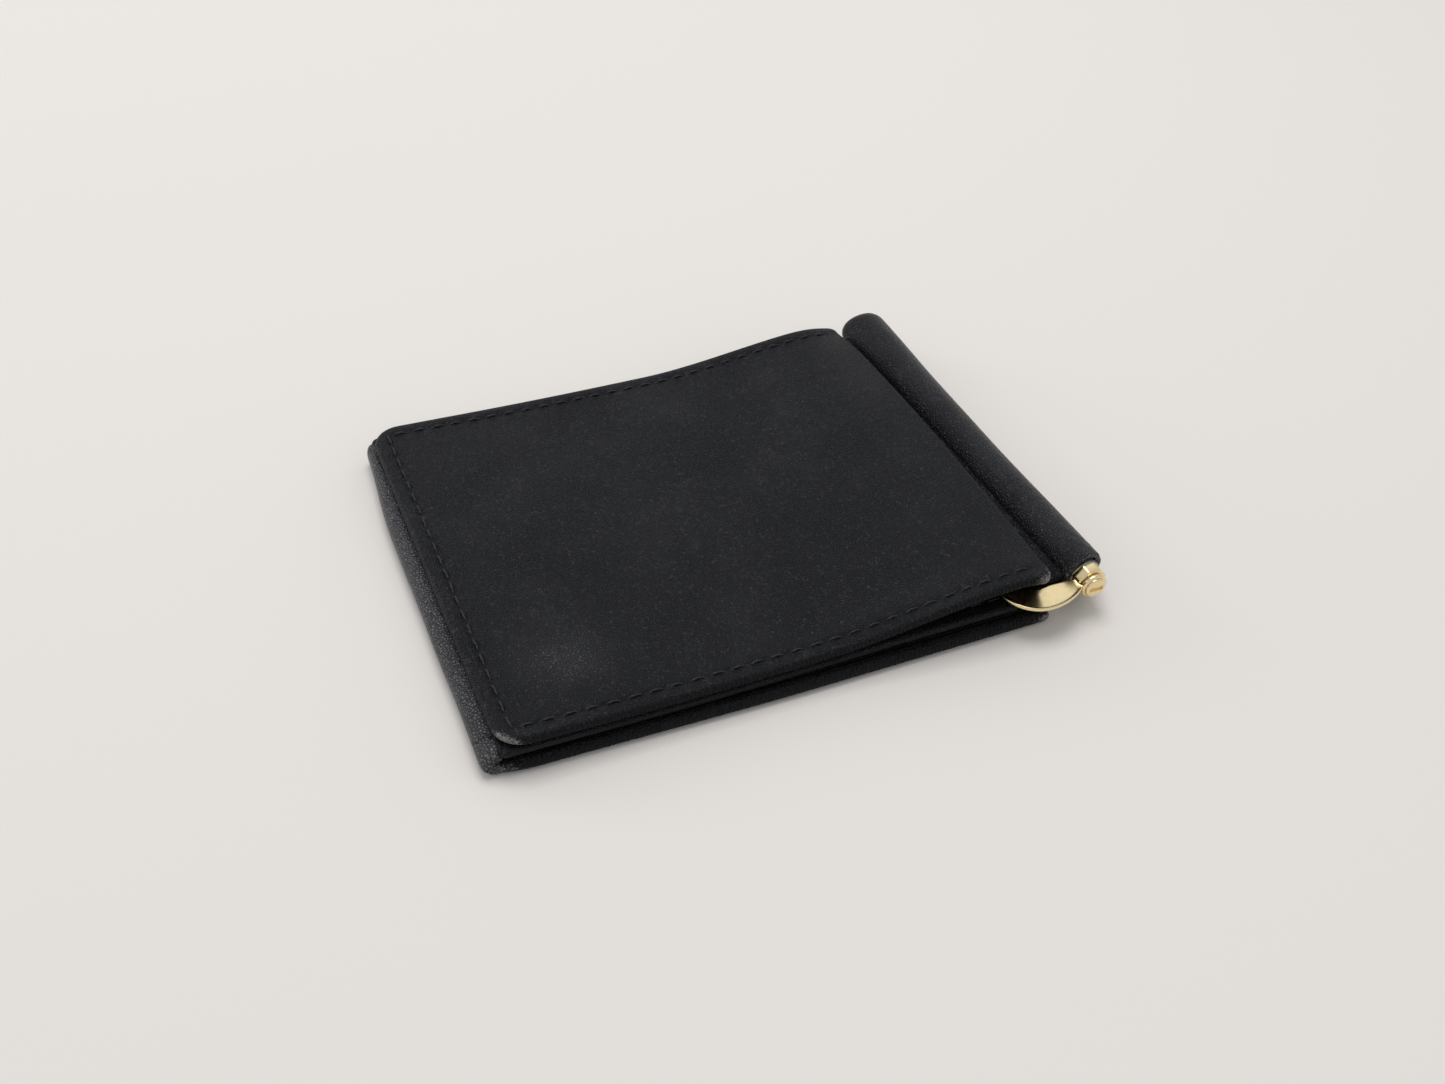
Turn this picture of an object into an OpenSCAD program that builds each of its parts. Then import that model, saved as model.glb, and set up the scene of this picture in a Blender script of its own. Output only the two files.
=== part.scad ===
// Leather money-clip wallet, lying closed. Three leaves fold in a Z: the cover leaf on top,
// the clip leaf under it and the card leaf on the table. A leather roll along the right side
// holds the spring rail, and the rail's near end carries the flat gilt clip arm.

/* [Leaves] */
// Width of the cover leaf, from its free edge to the groove beside the roll
leaf_w = 101; // [90:0.5:125]
// Height of the leaves, measured along the roll
leaf_h = 85; // [72:0.5:105]
// Plan radius of the corners at the free edges
corner_r = 5.5; // [3:0.5:8]
// Plan radius of the corners beside the roll
inner_corner_r = 2.5; // [1.5:0.5:4]
// Plan radius of the corners where two leaves run into the left fold
fold_corner_r = 1.5; // [1:0.5:3]
// Plan radius of the card leaf's free corners
card_corner_r = 2.5; // [2:0.5:8]
// Thickness of the cover leaf
cover_t = 1.7; // [1.5:0.1:2.4]
// Thickness of the clip leaf
clip_leaf_t = 1.5; // [1.5:0.1:2.4]
// Thickness of the card leaf with its pockets
card_leaf_t = 2.3; // [2.3:0.1:3.5]
// Space between the card leaf and the clip leaf
card_gap = 0.9; // [0.4:0.1:2]
// Space between the clip leaf and the cover leaf
cover_gap = 0.4; // [0.3:0.1:1]
// How far the card leaf stands out past the other leaves at the near end
card_overhang = 1.6; // [0:0.1:3]

/* [Cover bow] */
// How far the cover leaf rises towards the roll
bow_rise = 4; // [2:0.25:5]
// Length over which the cover leaf rises
bow_len = 41; // [25:1:50]
// Level stretch between the rise and the groove
bow_level = 3; // [1:0.5:6]

/* [Leather layers] */
// Thickness of the outer leather skins
skin_t = 0.7; // [0.5:0.05:0.8]
// Thickness of the stiffening board
board_t = 0.4; // [0.3:0.05:0.5]
// Width of the turned hem that closes each leaf
hem_w = 2.2; // [1.5:0.1:3]
// Thickness of each card pocket
pocket_t = 0.4; // [0.3:0.05:0.5]
// Depth of the front card pocket
pocket_h = 46; // [40:1:56]
// Step from one pocket's mouth to the next
pocket_step = 12; // [8:0.5:14]

/* [Stitching] */
// Distance from one stitch to the next
stitch_pitch = 3.6; // [2.5:0.1:5]
// Visible length of one stitch
stitch_len = 2.6; // [1.5:0.1:3.4]
// Width of the thread
thread_w = 0.5; // [0.3:0.05:0.7]
// Height of the thread above the leather
thread_h = 0.2; // [0.1:0.05:0.4]
// Distance of the stitch line from the edge
stitch_inset = 3; // [2.5:0.1:4.5]

/* [Left fold] */
// Thickness of the fold leather
fold_t = 1; // [0.7:0.1:1.2]
// How far the fold stands out past the leaves before it turns
fold_reach = 0.5; // [0.2:0.1:1.5]
// How far the fold's ends stay inside the leaves' ends
fold_inset = 1; // [0.5:0.5:3]

/* [Roll] */
// Outer radius of the leather roll
roll_r = 4.5; // [4.3:0.1:6]
// Wall of the leather roll
sleeve_wall = 1.2; // [0.8:0.1:1.2]
// Width of the groove between the cover leaf and the roll
groove_w = 4.7; // [4.5:0.1:7]
// Height of the roll's underside above the table
roll_lift = 1.1; // [0.9:0.1:2]
// Distance of the roll's open end from the leaves' near end
roll_start = 2; // [1.8:0.1:5]
// How far the roll's closed end stands past the leaves' far end
roll_over = 3.5; // [1:0.5:6]
// Radius of the rounding at the roll's closed end
roll_end_r = 3; // [1:0.25:4]

/* [Rail and spindle] */
// Wall of the rail
rail_wall = 0.8; // [0.5:0.05:0.85]
// Width across the corners of the octagonal collar
collar_d = 6.3; // [5.8:0.1:6.6]
// Radius of the spindle that turns in the collar
spindle_r = 1.6; // [1.3:0.05:1.6]
// Length of the spindle
spindle_len = 14; // [10:0.5:20]
// Running clearance around the spindle
spindle_fit = 0.05; // [0.02:0.01:0.1]

/* [Clip arm] */
// Width of the arm's blade
blade_w = 5.4; // [4.5:0.1:6]
// Thickness of the blade
blade_t = 0.8; // [0.7:0.1:1.2]
// Distance from the roll's axis to the blade's free edge
arm_reach = 18; // [16:0.5:20]
// Distance of the blade's tip from the leaves' far end
tip_gap = 9; // [4:0.5:20]
// Radius of the blade's turn at its near end
turn_r = 7.3; // [6.4:0.1:8]
// Radius of the neck's outer edge, from the turn to the knuckle
neck_r = 13.4; // [11:0.2:18]
// Height of the raised rim along the blade's free edge
rim_h = 0.25; // [0.1:0.05:0.5]
// Width of the raised rim
rim_w = 0.4; // [0.3:0.05:1]
// Radius of the arm's round knuckle
knuckle_r = 2.6; // [2.4:0.1:3]
// Thickness of the knuckle
knuckle_t = 0.8; // [0.6:0.1:1.6]
// Radius of the slotted screw's head
screw_head_r = 2.1; // [1.6:0.1:2.3]
// Height of the slotted screw's head
screw_head_h = 0.5; // [0.4:0.05:1]
// Length of the slot in the screw's head
slot_len = 2.8; // [1.6:0.1:3]

/* [Hidden] */
$fn = 64;

// Clearances inside the leaves and the roll
layer_fit = 0.1;
rail_fit = 0.1;
stitch_lift = 0.02;
film = 0.01;            // between the layers of the cover leaf
metal_gap = 0.02;       // between metal parts that lie face to face
leather_gap = 0.05;     // between a hinge leather and the leaf or roll beside it
join = 0.01;            // overlap where shapes of one part meet
far_out = 5;            // how far the profiles run past the leaves before they are trimmed
bow_steps = 14;

// Heights of the leaves above the table
clip_leaf_z = card_leaf_t + card_gap;
cover_z = clip_leaf_z + clip_leaf_t + cover_gap;

card_lining_t = card_leaf_t - skin_t - 3 * pocket_t;

// The clip leaf runs closer to the roll than the cover leaf; the card leaf stays clear of the
// roll, which turns down beside it when the wallet opens
clip_leaf_w = leaf_w + 1.5;
card_leaf_w = leaf_w + 0.2;

// The axis of the roll, and the two leather hinges beside it
roll_x = leaf_w + groove_w + roll_r;
roll_z = roll_lift + roll_r;
neck_x = leaf_w + 3.6;
cover_neck_z = roll_z + 1.6;
roll_len = leaf_h + roll_over - roll_start;
sleeve_bore_r = roll_r - sleeve_wall;
sleeve_end_wall = roll_end_r;

rail_r = sleeve_bore_r - rail_fit;

// The left fold turns from the card leaf up to the clip leaf
fold_r = (clip_leaf_z + clip_leaf_t) / 2;
fold_x = -fold_reach;

// Lengthwise places of the metal parts, from the leaves' near end
collar_end = roll_start - 0.1;
collar_start = -0.2;
washer_t = 0.25;
washer_margin = 0.4;    // how much smaller the washer is than the knuckle
knuckle_end = collar_start - washer_t - 0.05;
knuckle_start = knuckle_end - knuckle_t;
spigot_len = 6;
end_room = 1;            // left between the rail and the roll's closed end
rail_len = roll_len - sleeve_end_wall - end_room;
rail_bore_r = rail_r - rail_wall;
plug_len = 5;
plug_flange_t = 0.8;
spring_t = 0.3;
spring_room = sqrt(pow(rail_bore_r - rail_fit, 2) - pow(spindle_r + spindle_fit + spring_t, 2));
spring_w = min(2.2, 2 * spring_room);
spring_len = 32;
rivet_r = 0.5;
rivet_hole_r = 0.55;
rivet_places = [20, 28];
screw_r = 0.9;
screw_len = 5;
slot_w = 0.9;
slot_depth = 0.3;
rail_slot_w = 2.4;

// The arm's outline
arm_x = roll_x - arm_reach;
turn_x = arm_x + turn_r;
arm_y = -3.9;            // how far the turn stands out past the leaves' near end
blade_z = roll_z;
arm_tip = leaf_h - tip_gap;
neck_end_x = roll_x - collar_d / 2 - 0.3;
neck_back_y = arm_y + blade_w;

// Cut in the clip leaf's near corner, clear of the arm's neck
arm_clear = 0.6;
notch_x = turn_x - 2 * arm_clear;
notch_y = neck_back_y + arm_clear;

// The origin lies under the middle of the whole object
mid_x = (roll_x + roll_r + fold_x - fold_r) / 2;
mid_y = (arm_y + leaf_h + roll_over) / 2;

black = [0.09, 0.09, 0.10];
black_lining = [0.13, 0.13, 0.14];
thread = [0.16, 0.16, 0.17];
board_grey = [0.35, 0.34, 0.32];
gilt = [0.85, 0.72, 0.42];
steel = [0.62, 0.62, 0.64];

module placed() {
    translate([-mid_x, -mid_y, 0]) children();
}

// Height that the cover leaf has gained at a place along its width
function bow(x) =
    let (start = leaf_w - bow_level - bow_len, s = min(1, max(0, (x - start) / bow_len)))
    bow_rise * s * s * (3 - 2 * s);

function bow_slope(x) = atan(bow(x + 0.5) - bow(x - 0.5));

// A rectangle from p to q with radius rl at its left corners and rr at its right corners
module rounded_plan(p, q, rl, rr) {
    translate([p.x + rl, p.y]) square([q.x - rr - p.x - rl, q.y - p.y]);
    translate([p.x, p.y + rl]) square([2 * rl, q.y - p.y - 2 * rl]);
    translate([q.x - 2 * rr, p.y + rr]) square([2 * rr, q.y - p.y - 2 * rr]);
    for (y = [p.y + rl, q.y - rl]) translate([p.x + rl, y]) circle(rl);
    for (y = [p.y + rr, q.y - rr]) translate([q.x - rr, y]) circle(rr);
}

// Radius of a corner that is set in from a leaf's outline
function inner_r(r, inset) = max(0.8, r - inset);

// One flat layer of a leaf that is w wide, set in from the leaf's outline; r is the radius
// of the corners on the leaf's right side
module flat_layer(w, y0, z, t, r, inset = 0) {
    translate([0, 0, z]) linear_extrude(t)
        rounded_plan([inset, y0 + inset], [w - inset, leaf_h - inset],
            inner_r(fold_corner_r, inset), inner_r(r, inset));
}

// The clip leaf is cut back at its near corner, so that the arm's neck can pass it
module clip_leaf_layer(z, t, inset = 0) {
    difference() {
        flat_layer(clip_leaf_w, 0, clip_leaf_z + z, t, inner_corner_r, inset);
        translate([notch_x - inset, -far_out, clip_leaf_z + z - 1])
            cube([clip_leaf_w, far_out + notch_y + inset, t + 2]);
    }
}

module card_leaf_layer(z, t, inset = 0) {
    flat_layer(card_leaf_w, -card_overhang, z, t, card_corner_r, inset);
}

// One layer of the bowed cover leaf, from height a to height b above its underside
module bowed_layer(a, b, inset = 0) {
    start = leaf_w - bow_level - bow_len;
    xs = concat(
        [-far_out],
        [for (i = [0:bow_steps]) start + i * bow_len / bow_steps],
        [leaf_w + far_out]
    );
    last = len(xs) - 1;
    intersection() {
        translate([0, 0, cover_z - 1]) linear_extrude(cover_t + bow_rise + 2)
            rounded_plan([inset, inset], [leaf_w - inset, leaf_h - inset],
                inner_r(corner_r, inset), inner_r(inner_corner_r, inset));
        translate([0, leaf_h + far_out, cover_z]) rotate([90, 0, 0])
            linear_extrude(leaf_h + 2 * far_out) polygon(concat(
                [for (x = xs) [x, bow(x) + a]],
                [for (i = [0:last]) [xs[last - i], bow(xs[last - i]) + b]]
            ));
    }
}

// A cylinder along +Y from y0, l long, on the roll's axis
module along_roll(r, y0, l, fn = 64) {
    translate([roll_x, y0, roll_z]) rotate([-90, 0, 0]) cylinder(r = r, h = l, $fn = fn);
}

// One stitch lying along X or along Y
module stitch(p, lengthwise, tilt = 0) {
    size = lengthwise ? [thread_w, stitch_len, thread_h] : [stitch_len, thread_w, thread_h];
    translate(p) rotate([0, -tilt, 0]) translate([-size.x / 2, -size.y / 2, stitch_lift]) cube(size);
}

// Stitch lines along the near and far ends and down one side of a flat leaf
module flat_stitches(w, y0, z, side_x) {
    count = floor((w - 2 * stitch_inset - stitch_len) / stitch_pitch);
    side = floor((leaf_h - y0 - 2 * (stitch_inset + stitch_pitch)) / stitch_pitch);
    for (i = [0:count], y = [y0 + stitch_inset, leaf_h - stitch_inset])
        stitch([stitch_inset + stitch_len / 2 + i * stitch_pitch, y, z], false);
    for (i = [0:side])
        stitch([side_x, y0 + stitch_inset + (i + 1) * stitch_pitch, z], true);
}

module cover_outer_leather() {
    color(black) placed() difference() {
        bowed_layer(0, cover_t);
        bowed_layer(-0.5, cover_t - skin_t, hem_w);
    }
}

module cover_board() {
    color(board_grey) placed()
        bowed_layer(cover_t - skin_t - board_t, cover_t - skin_t - film, hem_w + layer_fit);
}

module cover_lining() {
    color(black_lining) placed()
        bowed_layer(0, cover_t - skin_t - board_t - film, hem_w + layer_fit);
}

module cover_stitches() {
    count = floor((leaf_w - 2 * stitch_inset - stitch_len) / stitch_pitch);
    side = floor((leaf_h - 2 * (stitch_inset + stitch_pitch)) / stitch_pitch);
    color(thread) placed() {
        for (i = [0:count], y = [stitch_inset, leaf_h - stitch_inset]) {
            x = stitch_inset + stitch_len / 2 + i * stitch_pitch;
            stitch([x, y, cover_z + cover_t + bow(x) + stitch_lift + film], false, bow_slope(x));
        }
        for (i = [0:side])
            stitch([stitch_inset, stitch_inset + (i + 1) * stitch_pitch, cover_z + cover_t], true);
    }
}

module clip_leaf_outer_leather() {
    color(black) placed() difference() {
        clip_leaf_layer(0, clip_leaf_t);
        clip_leaf_layer(-1, 1 + clip_leaf_t - skin_t, hem_w);
    }
}

module clip_leaf_board() {
    color(board_grey) placed()
        clip_leaf_layer(clip_leaf_t - skin_t - board_t, board_t, hem_w + layer_fit);
}

module clip_leaf_lining() {
    color(black_lining) placed()
        clip_leaf_layer(0, clip_leaf_t - skin_t - board_t, hem_w + layer_fit);
}

module clip_leaf_stitches() {
    color(thread) placed()
        flat_stitches(clip_leaf_w - stitch_inset, 0, clip_leaf_z + clip_leaf_t,
            clip_leaf_w - stitch_inset);
}

module card_leaf_outer_leather() {
    color(black) placed() difference() {
        card_leaf_layer(0, card_leaf_t);
        card_leaf_layer(skin_t, card_leaf_t, hem_w);
    }
}

module card_leaf_lining() {
    color(black_lining) placed() card_leaf_layer(skin_t, card_lining_t, hem_w + layer_fit);
}

// A card pocket's sheet; the rear pocket is number 0, and each next one is a step shorter
module card_pocket(number) {
    mouth = pocket_h + (2 - number) * pocket_step;
    z = skin_t + card_lining_t + number * pocket_t;
    color(black_lining) placed() intersection() {
        card_leaf_layer(z, pocket_t, hem_w + layer_fit);
        translate([0, -card_overhang, 0])
            cube([card_leaf_w, mouth + card_overhang, card_leaf_t + 1]);
    }
}

module card_pocket_rear() { card_pocket(0); }

module card_pocket_middle() { card_pocket(1); }

module card_pocket_front() { card_pocket(2); }

module card_leaf_stitches() {
    color(thread) placed()
        flat_stitches(card_leaf_w, -card_overhang, card_leaf_t, card_leaf_w - stitch_inset);
}

// Leather that wraps the left side, from the card leaf up to the clip leaf
module fold_leather() {
    len = leaf_h - 2 * fold_inset;
    color(black) placed() translate([fold_x, fold_inset, fold_r]) {
        difference() {
            rotate([-90, 0, 0]) cylinder(r = fold_r, h = len);
            translate([0, -1, 0]) rotate([-90, 0, 0]) cylinder(r = fold_r - fold_t, h = len + 2);
            translate([0, -1, -fold_r - 1]) cube([fold_r + 1, len + 2, 2 * fold_r + 2]);
        }
        for (z = [-fold_r, fold_r - fold_t])
            translate([-leather_gap, 0, z]) cube([fold_reach, len, fold_t]);
    }
}

// Leather in the groove between the cover leaf and the roll
module cover_hinge_leather() {
    top = cover_z + cover_t + bow_rise - 0.3;
    low = cover_neck_z - skin_t / 2;
    bed = low + skin_t;
    x0 = leaf_w + leather_gap;
    color(black) placed() difference() {
        translate([0, leaf_h - fold_inset, 0]) rotate([90, 0, 0])
            linear_extrude(leaf_h - fold_inset - roll_start) polygon([
                [x0, top - skin_t], [x0, top], [leaf_w + 0.9, top - 0.5], [neck_x - 0.4, bed + 0.4],
                [neck_x + 0.4, bed], [roll_x, bed + 0.6], [roll_x, low], [neck_x - 0.6, low],
                [leaf_w + 0.5, top - skin_t - 0.6]
            ]);
        along_roll(roll_r + leather_gap / 2, -far_out, leaf_h + 2 * far_out);
    }
}

// Leather between the clip leaf and the underside of the roll
module clip_hinge_leather() {
    z = clip_leaf_z + clip_leaf_t - skin_t;
    color(black) placed() difference() {
        translate([clip_leaf_w + leather_gap, roll_start, z])
            cube([roll_x - clip_leaf_w, leaf_h - roll_start - fold_inset, skin_t]);
        along_roll(roll_r + leather_gap / 2, -far_out, leaf_h + 2 * far_out);
    }
}

// Leather tube over the rail, open at the near end and domed at the far end
module roll_sleeve() {
    color(black) placed() difference() {
        translate([roll_x, roll_start, roll_z]) rotate([-90, 0, 0]) rotate_extrude() {
            square([roll_r - roll_end_r, roll_len]);
            square([roll_r, roll_len - roll_end_r]);
            translate([roll_r - roll_end_r, roll_len - roll_end_r])
                intersection() { circle(roll_end_r); square(roll_end_r); }
        }
        along_roll(sleeve_bore_r, roll_start - 1, roll_len - sleeve_end_wall + 1);
    }
}

module roll_seam_stitches() {
    count = floor((leaf_h - roll_start - 2 * stitch_inset) / stitch_pitch);
    color(thread) placed() for (i = [0:count])
        translate([roll_x - roll_r - thread_h - stitch_lift, roll_start + stitch_inset / 2
            + i * stitch_pitch, roll_z - thread_w / 2]) cube([thread_h, stitch_len, thread_w]);
}

// Steel tube, open along its underside, that stiffens the roll
module spring_rail() {
    color(steel) placed() difference() {
        along_roll(rail_r, roll_start, rail_len);
        along_roll(rail_bore_r, roll_start - 1, rail_len + 2);
        translate([roll_x - rail_slot_w / 2, roll_start + spigot_len + 2, roll_z - rail_r - 1])
            cube([rail_slot_w, rail_len - 2 * spigot_len - 4, rail_r]);
        for (y = rivet_places) translate([roll_x, y, roll_z]) cylinder(r = rivet_hole_r, h = 9);
    }
}

// Octagonal bush in the rail's near end, in which the spindle turns
module rail_collar() {
    color(gilt) placed() difference() {
        union() {
            translate([roll_x, collar_start, roll_z]) rotate([-90, 22.5, 0])
                cylinder(d = collar_d, h = collar_end - collar_start, $fn = 8);
            along_roll(rail_bore_r - rail_fit, collar_end - 0.1, spigot_len);
        }
        along_roll(spindle_r + spindle_fit, collar_start - 1, spigot_len + 5);
    }
}

module rail_end_plug() {
    end = roll_start + rail_len;
    color(steel) placed() {
        along_roll(rail_bore_r - rail_fit, end - plug_len, plug_len + 0.1);
        along_roll(rail_r, end + leather_gap, plug_flange_t);
    }
}

// Flat spring that bears on the spindle and holds the arm where it is put
module friction_spring() {
    y0 = roll_start + spigot_len + 0.5;
    color(steel) placed() difference() {
        translate([roll_x - spring_w / 2, y0, roll_z + spindle_r + spindle_fit])
            cube([spring_w, spring_len, spring_t]);
        for (y = rivet_places) translate([roll_x, y, roll_z]) cylinder(r = rivet_hole_r, h = 9);
    }
}

module spring_rivets() {
    color(steel) placed() for (y = rivet_places)
        translate([roll_x, y, roll_z + spindle_r + spindle_fit])
            cylinder(r = rivet_r, h = rail_r - spindle_r - spindle_fit);
}

module thrust_washer() {
    color(steel) placed() difference() {
        along_roll(knuckle_r - washer_margin, collar_start - metal_gap - washer_t, washer_t);
        along_roll(spindle_r + spindle_fit, collar_start - 1, 2);
    }
}

module arm_outline() {
    // blade
    translate([arm_x, arm_y + turn_r - join])
        square([blade_w, arm_tip - arm_y - turn_r - blade_w / 2]);
    translate([arm_x + blade_w / 2, arm_tip - blade_w / 2]) circle(blade_w / 2);
    // turn at the near end
    translate([turn_x, arm_y + turn_r]) intersection() {
        difference() { circle(turn_r); circle(turn_r - blade_w); }
        translate([-turn_r, -turn_r]) square([turn_r + join, turn_r]);
    }
    // neck towards the knuckle
    intersection() {
        translate([turn_x, arm_y + neck_r]) circle(neck_r, $fn = 128);
        translate([turn_x, arm_y]) square([neck_end_x - turn_x, neck_back_y - arm_y]);
    }
    translate([neck_end_x - 0.3, knuckle_start]) square([roll_x - neck_end_x, knuckle_t]);
}

// Raised rim along the free edge of the blade and round its turn
module arm_rim() {
    translate([arm_x, arm_y + turn_r - join])
        square([rim_w, arm_tip - arm_y - turn_r - blade_w / 2]);
    translate([turn_x, arm_y + turn_r]) intersection() {
        difference() { circle(turn_r); circle(turn_r - rim_w); }
        translate([-turn_r, -turn_r]) square([turn_r, turn_r]);
    }
}

// Flat gilt arm with its round knuckle, pressed from one strip
module clip_arm() {
    color(gilt) placed() difference() {
        union() {
            translate([0, 0, blade_z]) linear_extrude(blade_t) arm_outline();
            translate([0, 0, blade_z]) linear_extrude(blade_t + rim_h) arm_rim();
            along_roll(knuckle_r, knuckle_start, knuckle_t);
        }
        along_roll(screw_r + spindle_fit, knuckle_start - 1, knuckle_t + 2);
    }
}

// Spindle that turns in the collar with the arm
module arm_spindle() {
    color(steel) placed() difference() {
        along_roll(spindle_r, knuckle_end + metal_gap, spindle_len);
        along_roll(screw_r + spindle_fit, knuckle_end - 1, screw_len + 1);
    }
}

// Slotted screw that holds the knuckle on the spindle
module knuckle_screw() {
    head = knuckle_start - metal_gap - screw_head_h;
    color(gilt) placed() difference() {
        union() {
            along_roll(screw_head_r, head, screw_head_h);
            along_roll(screw_r, head + screw_head_h - 0.1, knuckle_t + screw_len - 0.5);
        }
        translate([roll_x - slot_len / 2, head - 1, roll_z - slot_w / 2])
            cube([slot_len, 1 + slot_depth, slot_w]);
    }
}

cover_outer_leather();
cover_board();
cover_lining();
cover_stitches();
clip_leaf_outer_leather();
clip_leaf_board();
clip_leaf_lining();
clip_leaf_stitches();
card_leaf_outer_leather();
card_leaf_lining();
card_pocket_rear();
card_pocket_middle();
card_pocket_front();
card_leaf_stitches();
fold_leather();
cover_hinge_leather();
clip_hinge_leather();
roll_sleeve();
roll_seam_stitches();
spring_rail();
rail_collar();
rail_end_plug();
friction_spring();
spring_rivets();
thrust_washer();
clip_arm();
arm_spindle();
knuckle_screw();
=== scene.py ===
"""Black leather money-clip wallet, lying closed: leaves, fold, roll and a gilt clip arm."""
import math

import bmesh
import bpy
import numpy as np
from mathutils import Matrix, Vector


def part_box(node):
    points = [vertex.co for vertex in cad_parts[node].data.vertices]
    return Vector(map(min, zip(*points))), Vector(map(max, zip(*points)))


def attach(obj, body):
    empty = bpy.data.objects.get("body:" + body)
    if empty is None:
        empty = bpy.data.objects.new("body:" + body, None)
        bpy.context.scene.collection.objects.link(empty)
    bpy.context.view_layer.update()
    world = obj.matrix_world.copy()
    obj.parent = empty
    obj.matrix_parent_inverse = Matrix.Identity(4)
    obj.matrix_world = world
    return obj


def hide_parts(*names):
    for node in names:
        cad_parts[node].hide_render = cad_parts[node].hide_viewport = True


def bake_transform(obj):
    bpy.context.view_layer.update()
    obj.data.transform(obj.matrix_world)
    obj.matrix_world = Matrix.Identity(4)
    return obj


bl_info = {
    "name": "Leather money-clip wallet",
    "version": (1, 0, 0),
    "blender": (4, 5, 0),
    "location": "3D View > Sidebar > Wallet",
    "description": "Builds a black leather money-clip wallet around its working frame",
    "category": "Object",
}

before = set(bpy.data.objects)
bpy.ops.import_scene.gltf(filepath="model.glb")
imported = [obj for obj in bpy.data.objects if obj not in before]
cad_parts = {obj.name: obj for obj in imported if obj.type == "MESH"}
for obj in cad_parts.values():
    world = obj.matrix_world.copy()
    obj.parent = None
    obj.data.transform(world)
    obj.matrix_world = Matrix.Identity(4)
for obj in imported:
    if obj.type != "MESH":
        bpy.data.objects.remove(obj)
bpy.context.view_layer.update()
MM = 0.001

# The sketch frame: millimetres from the cover leaf's free near corner, with z above the table
ORIGIN = Vector((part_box("cover_outer_leather")[0].x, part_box("cover_outer_leather")[0].y, 0))


def sketch_box(node):
    """Lowest and highest corner of a node, in millimetres of the sketch frame."""
    low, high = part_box(node)
    return (low - ORIGIN) / MM, (high - ORIGIN) / MM


def to_frame(points):
    """Sketch millimetres to metres of the row frame."""
    return np.asarray(points, float) * MM + np.array(ORIGIN)


COVER = sketch_box("cover_outer_leather")
CLIP_LEAF = sketch_box("clip_leaf_outer_leather")
CARD_LEAF = sketch_box("card_leaf_outer_leather")
CARD_LINING = sketch_box("card_leaf_lining")
FOLD = sketch_box("fold_leather")
ROLL = sketch_box("roll_sleeve")
ARM = sketch_box("clip_arm")
COLLAR = sketch_box("rail_collar")
SCREW = sketch_box("knuckle_screw")
ROLL_X = (ROLL[0].x + ROLL[1].x) / 2
ROLL_Z = (ROLL[0].z + ROLL[1].z) / 2
ROLL_R = (ROLL[1].x - ROLL[0].x) / 2
LEAF_H = COVER[1].y


def per(size):
    """A pattern's scale, from the millimetres that one patch or repeat of it covers."""
    return 1 / (size * MM)


def linear(code):
    """An sRGB hex colour as linear red, green and blue."""
    parts = [int(code[i:i + 2], 16) / 255 for i in (1, 3, 5)]
    return [c / 12.92 if c <= 0.04045 else ((c + 0.055) / 1.055) ** 2.4 for c in parts]


# ---------------------------------------------------------------- settings


def length(name, text, default, low=0.0, high=200.0):
    """A length setting; its default is given in millimetres."""
    return bpy.props.FloatProperty(name=name, description=text, default=default * MM,
                                   min=low * MM, max=high * MM, unit="LENGTH", precision=5)


def colour(name, text, code):
    """A colour setting; its default is given as an sRGB hex value."""
    return bpy.props.FloatVectorProperty(name=name, description=text, default=linear(code),
                                         size=3, min=0, max=1, subtype="COLOR")


class WalletLeatherSizes(bpy.types.PropertyGroup):
    cover_thickness: length("Cover thickness", "Thickness of the cover leaf", 1.7, 0.8, 3)
    corner_radius: length("Free corners", "Plan radius of the cover's free corners", 5.5, 2, 10)
    roll_corner_radius: length("Roll corners", "Plan radius of the corners by the roll", 1.8, 1, 5)
    rise_length: length("Rise length", "Stretch over which the cover rises to the roll", 41, 20, 60)
    level_length: length("Level length", "Level stretch between the rise and the groove", 3, 0, 8)
    hem_width: length("Hem width", "Width of the turned hem", 2.2, 1, 4)
    stitch_inset: length("Stitch inset", "Stitch line's distance from the edge", 3, 2, 5)
    stitch_pitch: length("Stitch pitch", "Distance from stitch to stitch", 3.6, 2, 5)
    stitch_length: length("Stitch length", "Visible length of a stitch", 2.7, 1, 4)
    thread_diameter: length("Thread", "Diameter of the thread", 0.42, 0.2, 0.8)
    sleeve_wall: length("Roll wall", "Thickness of the roll's leather", 1.2, 0.6, 2)
    grain: length("Grain", "Distance between the leather's pebbles", 0.55, 0.2, 2)
    hem_wrinkle: length("Hem wrinkle", "Distance between wrinkles on turned edges", 0.8, 0.3, 2)


class WalletArmSizes(bpy.types.PropertyGroup):
    blade_width: length("Blade width", "Width of the arm's blade", 5.4, 3, 8)
    blade_thickness: length("Blade thickness", "Thickness of the blade", 0.8, 0.5, 1.5)
    turn_radius: length("Turn radius", "Outer radius of the blade's turn", 7.3, 5, 9)
    neck_radius: length("Neck radius", "Outer radius of the neck", 13.4, 10, 20)
    rim_height: length("Rim height", "Height of the raised rim", 0.25, 0, 0.6)
    knuckle_thickness: length("Knuckle", "Thickness of the round knuckle", 0.8, 0.5, 2)
    head_height: length("Screw head", "Height of the screw's head", 0.5, 0.3, 1.5)
    slot_width: length("Slot width", "Width of the screw's slot", 0.9, 0.3, 1.2)
    slot_length: length("Slot length", "Length of the screw's slot", 2.8, 1, 4)
    slot_depth: length("Slot depth", "Depth of the screw's slot", 0.4, 0.1, 1)


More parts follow.
